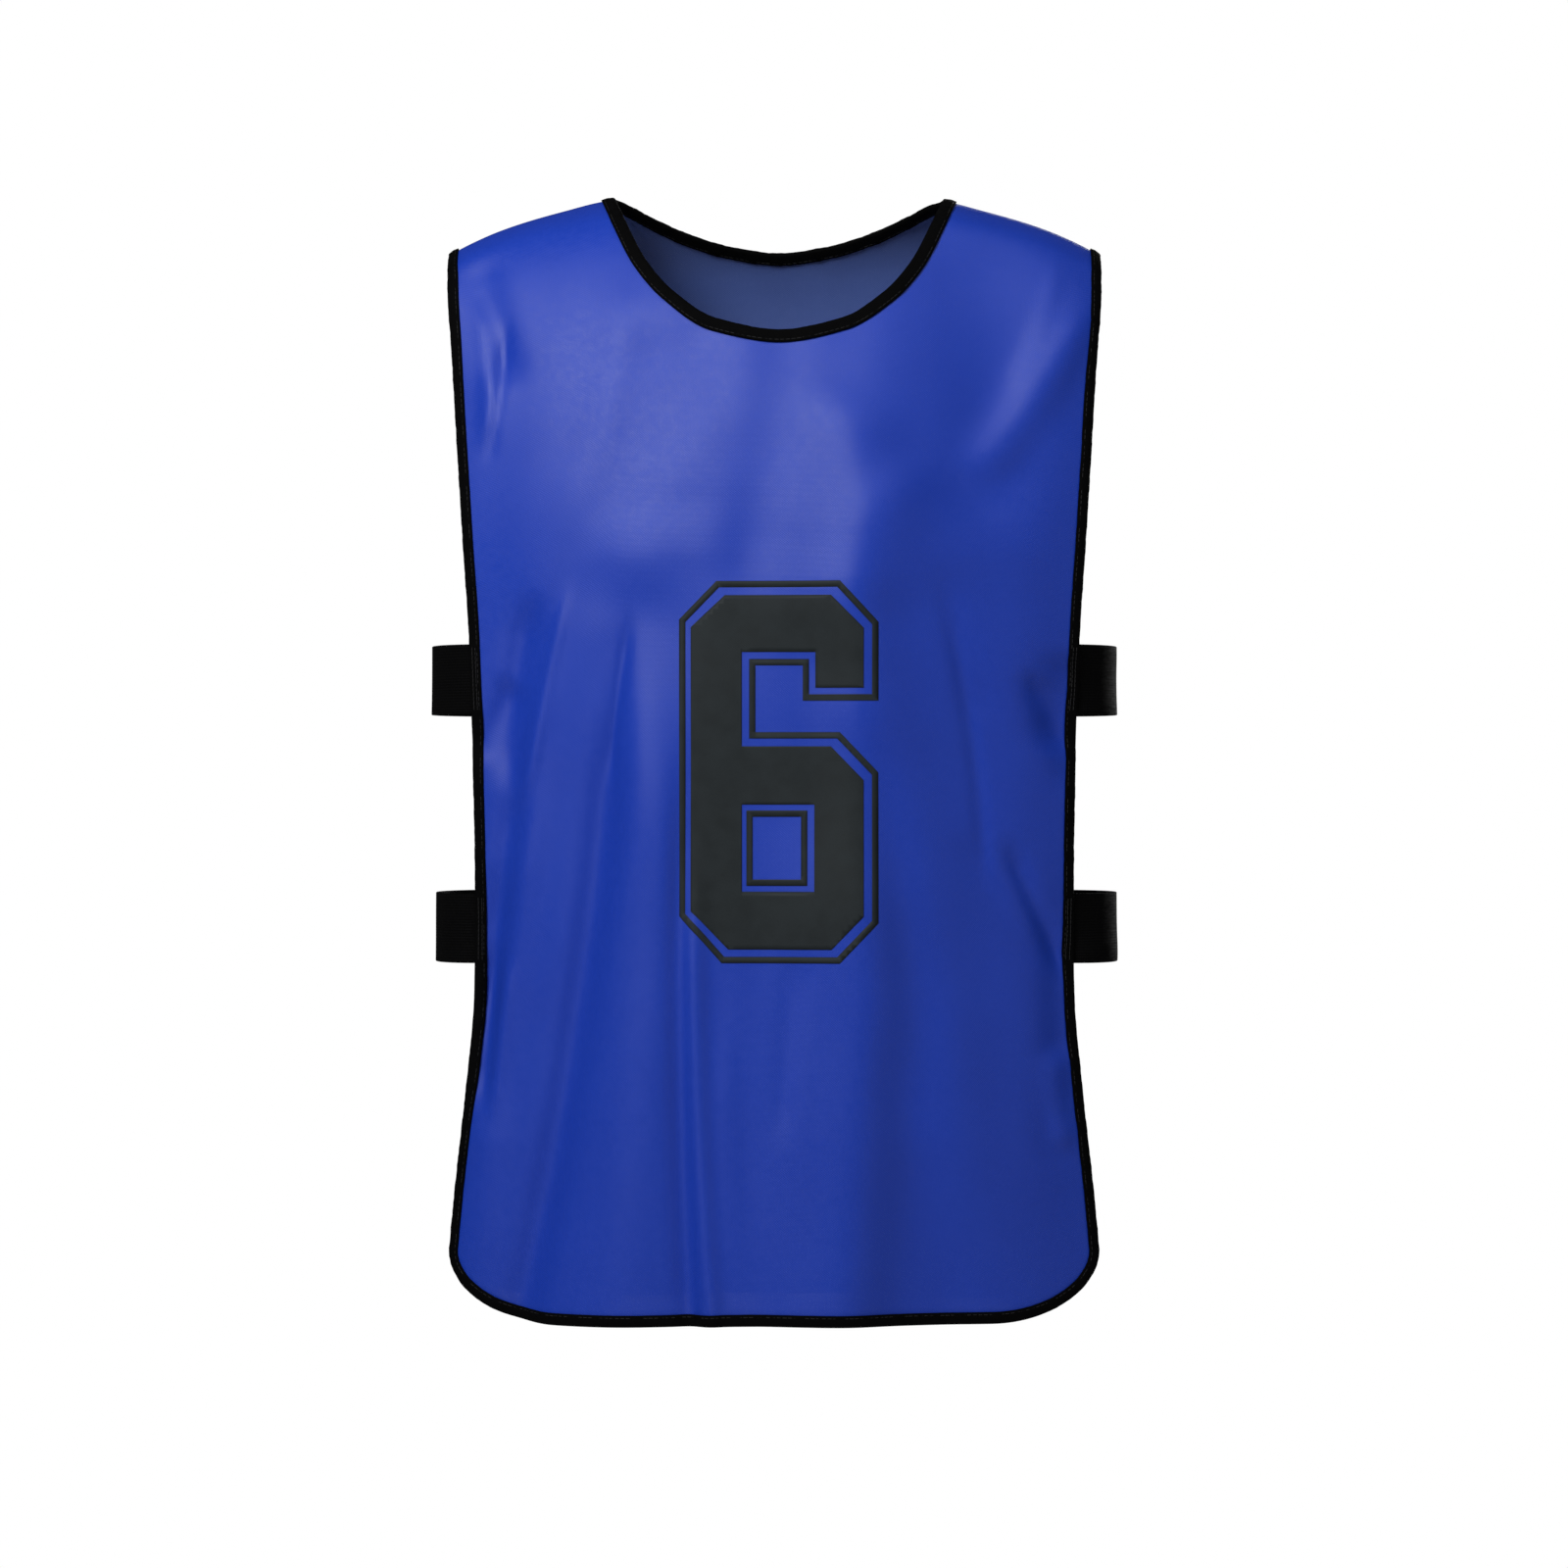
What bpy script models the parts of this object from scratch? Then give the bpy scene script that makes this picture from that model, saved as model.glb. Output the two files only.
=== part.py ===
"""A mesh training bib, filled out as if worn, built as the sewn garment is.

Two curved cloth panels meet in seams on top of the shoulders. One tape binds the neck and
another runs round the armholes, open sides and hems of both panels. Four elastic straps
join the panels across the open sides.

Lengths in the tables are millimetres. +Z is up, the front faces -Y and left is -X, as
seen from in front. The origin lies midway between the two neck points of the shoulder seams.
"""

import math
from collections import namedtuple

import bmesh
import bpy

MM = 0.001

# The tables' columns, in millimetres
Height = namedtuple("Height", "across height")
Edge = namedtuple("Edge", "drop half_width")
Neck = namedtuple("Neck", "across drop")
Depth = namedtuple("Depth", "drop at_middle at_side")
Fold = namedtuple("Fold", "top_across top_drop low_across low_drop bow top_width low_width rise")
Strap = namedtuple("Strap", "name top_drop hand reach")
Finish = namedtuple("Finish", "red green blue roughness")

# Driving sizes
WALL = 1.2
TAPE = 1.0
STRAP_WALL = 1.5
STRAP_GAP = 0.5
SEAM_GAP = 0.3
EDGE_TAPE_WIDTH = 7.0
NECK_TAPE_WIDTH = 8.2
STRAP_WIDTH = 40.0
NECK_CENTRE = 2.6
NECK_HALF = 95.6
TIP_HALF = 190.2
HEM_HEIGHT = -649.0
HEM_DIP = 1.2
CORNER_ACROSS = 62.0
CORNER_UP = 40.0
SEAM_FADE = 30.0
FOLD_TAPER = 0.25
EDGE_AT = 175.0

# How finely the walls are divided
SEAM_COLUMNS = 7
NECK_COLUMNS = 18
ROWS = 28
END_CROWDING = 0.6
OUTLINE_STEPS = 600
CORNER_STEPS = 150
STRAP_ROWS = 4
STRAP_STEPS = 12

COLUMNS = 2 * SEAM_COLUMNS + NECK_COLUMNS
SLOPE_STEP = 0.2
SHARP_ANGLE = math.radians(50)

# A strap's middle lies this far behind the cloth's middle, and a tape wraps this far past its edge
BURIED = WALL / 2 + SEAM_GAP + TAPE + STRAP_GAP + STRAP_WALL / 2
WRAP = SEAM_GAP + TAPE

# The pulls at a strap line's two ends add up to this many times its bulge in the middle
PULL_PER_BULGE = 8

# The tape section's walls that run along the cloth, by the line that they start from
STITCH_FIRST = (0, 4)
EDGE_FIRST = (2, 6)

# Shoulder line, seen from in front
SHOULDER_LINE = (
    Height(0.0, 0.0),
    Height(88.0, 0.0),
    Height(101.0, -1.8),
    Height(122.5, -7.2),
    Height(144.0, -13.2),
    Height(161.0, -19.0),
    Height(174.5, -24.8),
    Height(184.0, -29.6),
    Height(190.2, -33.6),
)

# Finished side edge from shoulder tip to hem corner, below the origin
SIDE_EDGE = (
    Edge(33.6, 190.2),
    Edge(60.0, 189.1),
    Edge(90.0, 186.3),
    Edge(150.0, 182.1),
    Edge(205.0, 178.4),
    Edge(262.0, 174.7),
    Edge(320.0, 173.0),
    Edge(390.0, 171.6),
    Edge(460.0, 172.3),
    Edge(520.0, 177.4),
    Edge(575.0, 183.6),
    Edge(610.0, 187.0),
)

# Finished neck edges, across from the neck's centre and down from the shoulder line
FRONT_NECK = (
    Neck(0.0, 83.4),
    Neck(36.0, 76.4),
    Neck(60.0, 60.6),
    Neck(76.0, 41.6),
    Neck(88.0, 18.0),
    Neck(95.6, 0.0),
)
BACK_NECK = (
    Neck(0.0, 25.6),
    Neck(29.0, 22.2),
    Neck(50.0, 16.8),
    Neck(65.5, 11.5),
    Neck(78.0, 6.6),
    Neck(87.5, 2.6),
    Neck(95.6, 0.0),
)

# How far each panel stands forward or back at a drop below the shoulder line
FRONT_DEPTHS = (
    Depth(0.0, 0.0, 0.0),
    Depth(4.0, 22.0, 15.0),
    Depth(15.0, 44.0, 30.0),
    Depth(40.0, 66.0, 44.0),
    Depth(85.0, 88.0, 56.0),
    Depth(140.0, 105.0, 63.0),
    Depth(200.0, 113.0, 66.0),
    Depth(290.0, 112.0, 64.0),
    Depth(400.0, 107.0, 60.0),
    Depth(520.0, 104.0, 57.0),
    Depth(680.0, 103.0, 56.0),
)
BACK_DEPTHS = (
    Depth(0.0, 0.0, 0.0),
    Depth(4.0, 20.0, 13.0),
    Depth(15.0, 44.0, 28.0),
    Depth(40.0, 68.0, 42.0),
    Depth(85.0, 84.0, 52.0),
    Depth(140.0, 92.0, 56.0),
    Depth(200.0, 94.0, 56.0),
    Depth(290.0, 90.0, 52.0),
    Depth(400.0, 88.0, 50.0),
    Depth(520.0, 90.0, 50.0),
    Depth(680.0, 92.0, 50.0),
)

# Folds: a ridge rises out of the cloth, and a trough's rise is negative
FRONT_FOLDS = (
    Fold(-82.5, 46.0, -126.6, 210.6, 9.6, 14.7, 13.3, 2.1),
    Fold(-33.8, 112.8, -85.1, 248.6, 1.0, 11.2, 28.4, 2.7),
    Fold(29.7, 105.6, 36.2, 262.6, 20.7, 16.5, 39.4, 5.0),
    Fold(189.8, 52.0, 106.9, 180.0, 2.9, 12.6, 14.3, 5.7),
    Fold(-52.9, 64.5, -53.1, 215.6, -6.9, 34.5, 42.6, -4.6),
    Fold(7.0, 48.5, -23.3, 243.6, 15.2, 17.9, 23.6, -3.1),
    Fold(107.3, 3.7, 116.0, 217.9, 6.6, 34.6, 37.6, -7.9),
    Fold(-72.0, 233.8, -118.9, 769.7, 17.9, 24.8, 37.1, 9.9),
    Fold(-83.5, 224.6, -168.6, 747.9, 12.2, 10.1, 10.2, -7.5),
    Fold(46.5, 316.2, 36.8, 740.7, 0.0, 34.7, 33.4, 8.8),
    Fold(49.9, 275.8, 106.9, 771.8, 6.9, 12.8, 27.2, -6.8),
    Fold(40.2, 198.3, 105.9, 644.2, -2.0, 20.5, 42.9, 9.9),
    Fold(137.3, 283.6, 149.8, 615.4, -4.8, 14.7, 28.7, 2.2),
    Fold(174.0, 264.0, 157.6, 329.2, 0.0, 17.4, 14.2, -4.5),
    Fold(159.4, 391.6, 162.0, 568.7, 3.7, 12.0, 11.7, -3.8),
    Fold(-157.4, 381.8, -163.0, 550.4, -1.6, 13.7, 12.6, -4.6),
)
BACK_FOLDS = (
    Fold(-118.0, 50.0, -92.0, 260.0, 0.0, 18.0, 14.0, 4.0),
    Fold(124.0, 55.0, 90.0, 250.0, 0.0, 16.0, 14.0, 4.0),
    Fold(-70.0, 60.0, -52.0, 240.0, 0.0, 16.0, 14.0, -3.5),
    Fold(66.0, 60.0, 58.0, 240.0, 0.0, 16.0, 14.0, -3.5),
    Fold(2.0, 70.0, -6.0, 300.0, 0.0, 22.0, 16.0, 3.5),
    Fold(-84.0, 210.0, -112.0, 720.0, 8.0, 12.0, 18.0, 5.0),
    Fold(-56.0, 240.0, -72.0, 720.0, 0.0, 10.0, 13.0, -4.5),
    Fold(-20.0, 260.0, -28.0, 720.0, 0.0, 13.0, 18.0, 4.0),
    Fold(14.0, 280.0, 16.0, 720.0, 0.0, 11.0, 14.0, -4.5),
    Fold(50.0, 230.0, 58.0, 720.0, 0.0, 13.0, 18.0, 4.5),
    Fold(84.0, 250.0, 102.0, 720.0, -4.0, 11.0, 15.0, -4.5),
    Fold(118.0, 220.0, 142.0, 640.0, 0.0, 12.0, 16.0, 4.0),
    Fold(-136.0, 250.0, -150.0, 620.0, 0.0, 11.0, 13.0, -4.0),
)

# Straps: hand is -1 on the left and 1 on the right, reach is from the middle outwards
STRAPS = (
    Strap("strap_upper_left", 262.0, -1, 200.0),
    Strap("strap_upper_right", 262.0, 1, 200.0),
    Strap("strap_lower_left", 405.0, -1, 197.5),
    Strap("strap_lower_right", 405.0, 1, 200.0),
)

# Materials, in linear colour
COLOURS = {
    "mesh_cloth": Finish(0.022, 0.047, 0.323, 0.5),
    "edge_tape": Finish(0.004, 0.004, 0.005, 0.75),
    "elastic": Finish(0.005, 0.005, 0.006, 0.8),
}


def curve_at(table, at, column=1, flat_start=False):
    """The value of a column where the table's first column is at, without overshoot."""
    keys = [row[0] for row in table]
    values = [row[column] for row in table]
    steps = [keys[i + 1] - keys[i] for i in range(len(keys) - 1)]
    slopes = [(values[i + 1] - values[i]) / steps[i] for i in range(len(steps))]
    tangents = [0.0 if flat_start else slopes[0]]
    for before, after in zip(slopes, slopes[1:]):
        same_way = before * after > 0
        tangents.append(2 * before * after / (before + after) if same_way else 0.0)
    tangents.append(slopes[-1])
    i = max(k for k in range(len(steps)) if k == 0 or keys[k] <= at)
    t = (at - keys[i]) / steps[i]
    if t > 1:
        return values[-1] + tangents[-1] * (at - keys[-1])
    return (
        (1 + 2 * t) * (1 - t) ** 2 * values[i]
        + t * (1 - t) ** 2 * steps[i] * tangents[i]
        + t * t * (3 - 2 * t) * values[i + 1]
        + t * t * (t - 1) * steps[i] * tangents[i + 1]
    )


def smooth_step(share):
    share = min(1.0, max(0.0, share))
    return share * share * (3 - 2 * share)


def shoulder_height(x):
    return curve_at(SHOULDER_LINE, abs(x), flat_start=True)


def slope(function, at):
    """How fast a function of one length changes."""
    return (function(at + SLOPE_STEP) - function(at - SLOPE_STEP)) / (2 * SLOPE_STEP)


def fold_rise(folds, x, z):
    """How far the folds lift the cloth at a point of the front view."""
    rise = 0.0
    for fold in folds:
        along_x, along_z = fold.low_across - fold.top_across, fold.top_drop - fold.low_drop
        length = math.hypot(along_x, along_z)
        from_x, from_z = x - fold.top_across, z + fold.top_drop
        share = (from_x * along_x + from_z * along_z) / length**2
        if not 0 < share < 1:
            continue
        aside = (from_z * along_x - from_x * along_z) / length
        aside -= fold.bow * math.sin(math.pi * share)
        width = fold.top_width + (fold.low_width - fold.top_width) * share
        ends = smooth_step(share / FOLD_TAPER) * smooth_step((1 - share) / FOLD_TAPER)
        rise += fold.rise * ends * math.exp(-((aside / width) ** 2))
    below = shoulder_height(x) - z
    return rise * smooth_step(below / SEAM_FADE)


class Side:
    """One panel's surface: facing is -1 for the front and 1 for the back."""

    def __init__(self, facing, depths, folds, neck):
        self.facing = facing
        self.folds = folds
        self.neck = neck
        self.roots = [Depth(math.sqrt(row.drop), row.at_middle, row.at_side) for row in depths]

    def body_depth(self, root, x):
        """Depth without folds, where root is the square root of the drop."""
        middle = curve_at(self.roots, root, 1)
        edge = curve_at(self.roots, root, 2)
        return middle - (middle - edge) * (x / EDGE_AT) ** 2

    def place(self, x, z):
        """The cloth's middle point and outward normal at a point of the front view."""
        root = math.sqrt(max(0.0, shoulder_height(x) - z))
        depth = self.body_depth(root, x) + fold_rise(self.folds, x, z)
        above = self.body_depth(max(0.0, root - SLOPE_STEP), x)
        by_root = (self.body_depth(root + SLOPE_STEP, x) - above) / (SLOPE_STEP + min(SLOPE_STEP, root))
        by_x = slope(lambda at: self.body_depth(root, at) + fold_rise(self.folds, at, z), x)
        fold_by_z = slope(lambda at: fold_rise(self.folds, x, at), z)
        normal = (
            -by_root * slope(shoulder_height, x) - 2 * root * by_x,
            2 * root * self.facing,
            by_root - 2 * root * fold_by_z,
        )
        size = math.hypot(*normal)
        point = (x, self.facing * (SEAM_GAP / 2 + depth), z)
        return point, tuple(part / size for part in normal)

    def neck_outline(self):
        """The finished neck edge from left to right, as points of the front view."""
        points = []
        for step in range(OUTLINE_STEPS + 1):
            aside = -NECK_HALF + 2 * NECK_HALF * step / OUTLINE_STEPS
            drop = curve_at(self.neck, abs(aside), flat_start=True)
            x = NECK_CENTRE + aside
            points.append((x, shoulder_height(x) - drop))
        return points


def side_outline():
    """The right-hand finished edge from the shoulder tip to the hem's middle."""
    points = []
    tip, low = SIDE_EDGE[0], SIDE_EDGE[-1]
    for step in range(OUTLINE_STEPS):
        drop = tip.drop + (low.drop - tip.drop) * step / OUTLINE_STEPS
        points.append((curve_at(SIDE_EDGE, drop), -drop))
    corner_x = low.half_width - CORNER_ACROSS
    corner_z = HEM_HEIGHT - HEM_DIP + CORNER_UP
    for step in range(CORNER_STEPS + 1):
        turn = math.pi / 2 * step / CORNER_STEPS
        points.append((corner_x + CORNER_ACROSS * math.cos(turn), corner_z - CORNER_UP * math.sin(turn)))
    for step in range(1, CORNER_STEPS + 1):
        share = step / CORNER_STEPS
        points.append((corner_x * (1 - share), HEM_HEIGHT - HEM_DIP * (1 - smooth_step(share))))
    return points


def lengths_along(points):
    """The length of a line of points up to each of them."""
    total = [0.0]
    for before, after in zip(points, points[1:]):
        total.append(total[-1] + math.dist(before, after))
    return total


def sample(points, shares):
    """Points at shares of a line's length in the front view, each with the line's direction."""
    total = lengths_along(points)
    found = []
    for share in shares:
        want = share * total[-1]
        i = max(k for k in range(len(points) - 1) if k == 0 or total[k] <= want)
        (x, z), (next_x, next_z) = points[i], points[i + 1]
        size = total[i + 1] - total[i]
        way = ((next_x - x) / size, (next_z - z) / size)
        past = want - total[i]
        found.append(((x + way[0] * past, z + way[1] * past), way))
    return found


def crowded_shares(side, points, count):
    """Shares of a line's front-view length that lie closer together, on the cloth, at its ends."""
    flat = lengths_along(points)
    total = lengths_along([side.place(*spot)[0] for spot in points])
    shares = []
    for step in range(count + 1):
        even = step / count
        want = total[-1] * (even - END_CROWDING * math.sin(2 * math.pi * even) / (2 * math.pi))
        i = max(k for k in range(len(points) - 1) if k == 0 or total[k] <= want)
        past = (want - total[i]) / (total[i + 1] - total[i])
        shares.append((flat[i] + (flat[i + 1] - flat[i]) * past) / flat[-1])
    return shares


def moved_in(side, start, way, distance):
    """The front-view point distance in from a line that runs this way, measured on the cloth."""
    inward = (way[1], -way[0])
    flat = distance
    for _ in range(3):
        there = (start[0] + inward[0] * flat, start[1] + inward[1] * flat)
        flat *= distance / math.dist(side.place(*start)[0], side.place(*there)[0])
    return start[0] + inward[0] * flat, start[1] + inward[1] * flat


def on_shoulder(x, distance):
    """The shoulder line's point that lies distance from x, towards larger x if positive."""
    moved = x + distance / math.hypot(1, slope(shoulder_height, x + distance / 2))
    return moved, shoulder_height(moved)


def edge_pairs(side, samples, tape_width):
    """(stitch line point, cloth edge point) for each finished edge sample."""
    pairs = []
    for start, way in samples:
        pairs.append((moved_in(side, start, way, tape_width), moved_in(side, start, way, WRAP)))
    return pairs


class Panel:
    """The points of one cloth panel: a grid inside the stitch lines, and the bound edges."""

    def __init__(self, side):
        outline = side_outline()
        corner = OUTLINE_STEPS + CORNER_STEPS // 2
        shares = crowded_shares(side, outline[: corner + 1], ROWS)
        left, right, hem = self.outer_edges(side, outline[: corner + 1], outline[corner:], shares)
        neck = self.neck_edge(side)
        top = self.seam(left[0][0][0], neck[0][0][0])[:-1]
        top += [stitch for stitch, edge in neck]
        top += self.seam(neck[-1][0][0], right[0][0][0])[1:]
        self.grid = self.fill(side, top, [stitch for stitch, edge in hem], left, right, shares)
        self.left = [side.place(*edge) for stitch, edge in left]
        self.right = [side.place(*edge) for stitch, edge in right]
        self.hem = [side.place(*edge) for stitch, edge in hem]
        self.neck = [side.place(*edge) for stitch, edge in neck]

    def outer_edges(self, side, down, across, shares):
        """The side edges and the hem, parted at the middle of each round corner."""
        across = across + [(-x, z) for x, z in reversed(across[:-1])]
        right = edge_pairs(side, sample(down, shares), EDGE_TAPE_WIDTH)
        right[0] = (on_shoulder(TIP_HALF, -EDGE_TAPE_WIDTH), on_shoulder(TIP_HALF, -WRAP))
        left = [tuple((-x, z) for x, z in pair) for pair in right]
        even = [column / COLUMNS for column in range(COLUMNS + 1)]
        hem = edge_pairs(side, sample(across, even), EDGE_TAPE_WIDTH)[::-1]
        hem[0], hem[-1] = left[-1], right[-1]
        return left, right, hem

    def neck_edge(self, side):
        """The neck edge from left to right, with its ends on the shoulder line."""
        outline = side.neck_outline()
        shares = crowded_shares(side, outline, NECK_COLUMNS)
        neck = edge_pairs(side, sample(outline, shares), NECK_TAPE_WIDTH)
        low, high = NECK_CENTRE - NECK_HALF, NECK_CENTRE + NECK_HALF
        neck[0] = (on_shoulder(low, -NECK_TAPE_WIDTH), on_shoulder(low, -WRAP))
        neck[-1] = (on_shoulder(high, NECK_TAPE_WIDTH), on_shoulder(high, WRAP))
        return neck

    def seam(self, start, end):
        """Points along the shoulder line."""
        across = [start + (end - start) * column / SEAM_COLUMNS for column in range(SEAM_COLUMNS + 1)]
        return [(x, shoulder_height(x)) for x in across]

    def fill(self, side, top, bottom, left, right, shares):
        """The grid between four stitch lines, column by column."""
        grid = []
        for i in range(COLUMNS + 1):
            u = i / COLUMNS
            column = []
            for j, v in enumerate(shares):
                spot = []
                for k in range(2):
                    a, b = left[j][0][k], right[j][0][k]
                    corners = (1 - v) * ((1 - u) * top[0][k] + u * top[-1][k])
                    corners += v * ((1 - u) * bottom[0][k] + u * bottom[-1][k])
                    spot.append((1 - v) * top[i][k] + v * bottom[i][k] + (1 - u) * a + u * b - corners)
                column.append(side.place(*spot))
            grid.append(column)
        return grid

    def faces(self):
        """Each four-cornered patch of the cloth, as points with normals."""
        first, last = SEAM_COLUMNS, SEAM_COLUMNS + NECK_COLUMNS
        grid = self.grid
        found = []
        for i in range(COLUMNS):
            for j in range(ROWS):
                found.append((grid[i][j], grid[i][j + 1], grid[i + 1][j + 1], grid[i + 1][j]))
            found.append((grid[i][ROWS], self.hem[i], self.hem[i + 1], grid[i + 1][ROWS]))
        for j in range(ROWS):
            found.append((self.left[j], self.left[j + 1], grid[0][j + 1], grid[0][j]))
            found.append((grid[-1][j], grid[-1][j + 1], self.right[j + 1], self.right[j]))
        for i in range(first, last):
            found.append((self.neck[i - first], grid[i][0], grid[i + 1][0], self.neck[i - first + 1]))
        return found

    def outer_chain(self):
        """(stitch point, edge point) down the left side, along the hem and up the right."""
        left = list(zip(self.grid[0], self.left))
        hem = [(self.grid[i][ROWS], self.hem[i]) for i in range(1, COLUMNS)]
        right = list(zip(self.grid[-1], self.right))[::-1]
        return left + hem + right

    def neck_chain(self):
        """(stitch point, edge point) along the neck from left to right."""
        return [(self.grid[SEAM_COLUMNS + i][0], self.neck[i]) for i in range(NECK_COLUMNS + 1)]


def offset(placed, distance):
    """A placed point moved along its normal."""
    point, normal = placed
    return tuple(p + n * distance for p, n in zip(point, normal))


def halves(corners):
    """The two triangles of a patch, cut along its shorter diagonal.

    The cloth and the tape over it cut the same patch the same way, so the walls stay parallel.
    """
    a, b, c, d = corners
    if math.dist(a[0], c[0]) <= math.dist(b[0], d[0]):
        return (0, 1, 2), (0, 2, 3)
    return (1, 2, 3), (1, 3, 0)


def finish_object(name, mesh, material_name):
    """Links a built mesh as a named object with its own material."""
    bmesh.ops.recalc_face_normals(mesh, faces=mesh.faces)
    data = bpy.data.meshes.new(name)
    mesh.to_mesh(data)
    mesh.free()
    data.shade_smooth()
    data.set_sharp_from_angle(angle=SHARP_ANGLE)
    finish = COLOURS[material_name]
    material = bpy.data.materials.new(name + "_" + material_name)
    material.use_nodes = True
    shader = material.node_tree.nodes["Principled BSDF"]
    shader.inputs["Base Color"].default_value = (finish.red, finish.green, finish.blue, 1)
    shader.inputs["Roughness"].default_value = finish.roughness
    shader.inputs["Metallic"].default_value = 0
    data.materials.append(material)
    made = bpy.data.objects.new(name, data)
    bpy.context.scene.collection.objects.link(made)
    return made


def build_panel(name, panel):
    """A cloth wall: the patches on both faces, with a rim where a patch's edge is free."""
    mesh = bmesh.new()
    made = {}

    def vertex(placed, distance):
        key = (placed[0], distance)
        if key not in made:
            made[key] = mesh.verts.new([c * MM for c in offset(placed, distance)])
        return made[key]

    edges = {}
    for corners in panel.faces():
        for half in halves(corners):
            mesh.faces.new([vertex(corners[k], WALL / 2) for k in half])
            mesh.faces.new([vertex(corners[k], -WALL / 2) for k in reversed(half)])
        for a, b in zip(corners, corners[1:] + corners[:1]):
            edges.setdefault(frozenset((a[0], b[0])), []).append((a, b))
    for uses in edges.values():
        if len(uses) == 1:
            a, b = uses[0]
            rim = (vertex(b, WALL / 2), vertex(a, WALL / 2), vertex(a, -WALL / 2), vertex(b, -WALL / 2))
            mesh.faces.new(rim)
    finish_object(name, mesh, "mesh_cloth")


def middle_of(front, back):
    """One placed point between two that face each other across a seam."""
    point = tuple((a + b) / 2 for a, b in zip(front[0], back[0]))
    normal = tuple((a + b) / 2 for a, b in zip(front[1], back[1]))
    size = math.hypot(*normal)
    return point, tuple(part / size for part in normal)


def closed_chain(front, back):
    """A loop round both panels, with one shared ring at each shoulder seam."""
    start = tuple(middle_of(f, b) for f, b in zip(front[0], back[0]))
    end = tuple(middle_of(f, b) for f, b in zip(front[-1], back[-1]))
    return [start] + front[1:-1] + [end] + back[-2:0:-1]


def build_tape(name, chain):
    """A folded tape: a channel of even thickness round the cloth's edge."""
    mesh = bmesh.new()
    inside = WALL / 2 + SEAM_GAP
    outside = inside + TAPE
    rings = []
    for stitch, edge in chain:
        size = math.dist(edge[0], stitch[0])
        out = [(e - s) / size for e, s in zip(edge[0], stitch[0])]

        def past(distance, beyond):
            return [c + o * beyond for c, o in zip(offset(edge, distance), out)]

        section = (
            offset(stitch, outside),
            past(outside, WRAP),
            past(-outside, WRAP),
            offset(stitch, -outside),
            offset(stitch, -inside),
            past(-inside, SEAM_GAP),
            past(inside, SEAM_GAP),
            offset(stitch, inside),
        )
        rings.append([mesh.verts.new([c * MM for c in corner]) for corner in section])
    count = len(chain)
    for i in range(count):
        ring, following = rings[i], rings[(i + 1) % count]
        (stitch, edge), (next_stitch, next_edge) = chain[i], chain[(i + 1) % count]
        for k in range(len(ring)):
            after = (k + 1) % len(ring)
            corners = (ring[k], ring[after], following[after], following[k])
            if k in STITCH_FIRST:
                cut = halves((stitch, edge, next_edge, next_stitch))
            elif k in EDGE_FIRST:
                cut = halves((edge, stitch, next_stitch, next_edge))
            else:
                cut = ((0, 1, 2), (0, 2, 3))
            for half in cut:
                mesh.faces.new([corners[c] for c in half])
    finish_object(name, mesh, "edge_tape")


def placed_at_drop(line, drop):
    """The placed point of a side line at a drop, read straight between its own points."""
    for upper, lower in zip(line, line[1:]):
        if -upper[0][2] <= drop <= -lower[0][2]:
            part = (drop + upper[0][2]) / (upper[0][2] - lower[0][2])
            point = tuple(a + (b - a) * part for a, b in zip(upper[0], lower[0]))
            normal = tuple(a + (b - a) * part for a, b in zip(upper[1], lower[1]))
            return point, normal
    raise ValueError("the strap lies off the side edge")


def strap_lap(panel, hand, drop):
    """Where a strap's middle passes behind the stitch line and behind the cloth's edge."""
    stitch_line, edge_line = (panel.grid[-1], panel.right) if hand > 0 else (panel.grid[0], panel.left)
    lap = offset(placed_at_drop(stitch_line, drop), -BURIED)
    edge = offset(placed_at_drop(edge_line, drop), -BURIED)
    size = math.dist(lap, edge)
    return lap, edge, [(e - s) / size for s, e in zip(lap, edge)]


def strap_line(front, back, strap, drop):
    """The middle line of a strap at one height, from lap to lap, round the open side.

    It leaves both edges in the cloth's direction, pulled just far enough to reach out.
    """
    front_lap, front_edge, leave = strap_lap(front, strap.hand, drop)
    back_lap, back_edge, arrive = strap_lap(back, strap.hand, drop)
    bulge = strap.hand * (strap.reach - STRAP_WALL / 2) - (front_edge[0] + back_edge[0]) / 2
    pull = PULL_PER_BULGE * bulge / (leave[0] + arrive[0])
    line = [front_lap]
    for step in range(STRAP_STEPS + 1):
        t = step / STRAP_STEPS
        from_front, from_back = (1 + 2 * t) * (1 - t) ** 2, t * t * (3 - 2 * t)
        pulls = t * (1 - t) ** 2 * pull, t * t * (1 - t) * pull
        spot = [a * from_front + b * from_back for a, b in zip(front_edge, back_edge)]
        line.append([c + pulls[0] * a + pulls[1] * b for c, a, b in zip(spot, leave, arrive)])
    return line + [back_lap]


def build_strap(strap, front, back):
    """An elastic band of even thickness, lapped on the inside of both bound edges."""
    mesh = bmesh.new()
    lines = []
    for row in range(STRAP_ROWS + 1):
        drop = strap.top_drop + STRAP_WIDTH * row / STRAP_ROWS
        line = strap_line(front, back, strap, drop)
        lines.append([mesh.verts.new([c * MM for c in spot]) for spot in line])
    for line, below in zip(lines, lines[1:]):
        for i in range(len(line) - 1):
            mesh.faces.new((line[i], line[i + 1], below[i + 1], below[i]))
    band = finish_object(strap.name, mesh, "elastic")
    wall = band.modifiers.new("wall", "SOLIDIFY")
    wall.thickness = STRAP_WALL * MM
    wall.offset = 0


def clear_scene():
    for obj in list(bpy.data.objects):
        bpy.data.objects.remove(obj)


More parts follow.
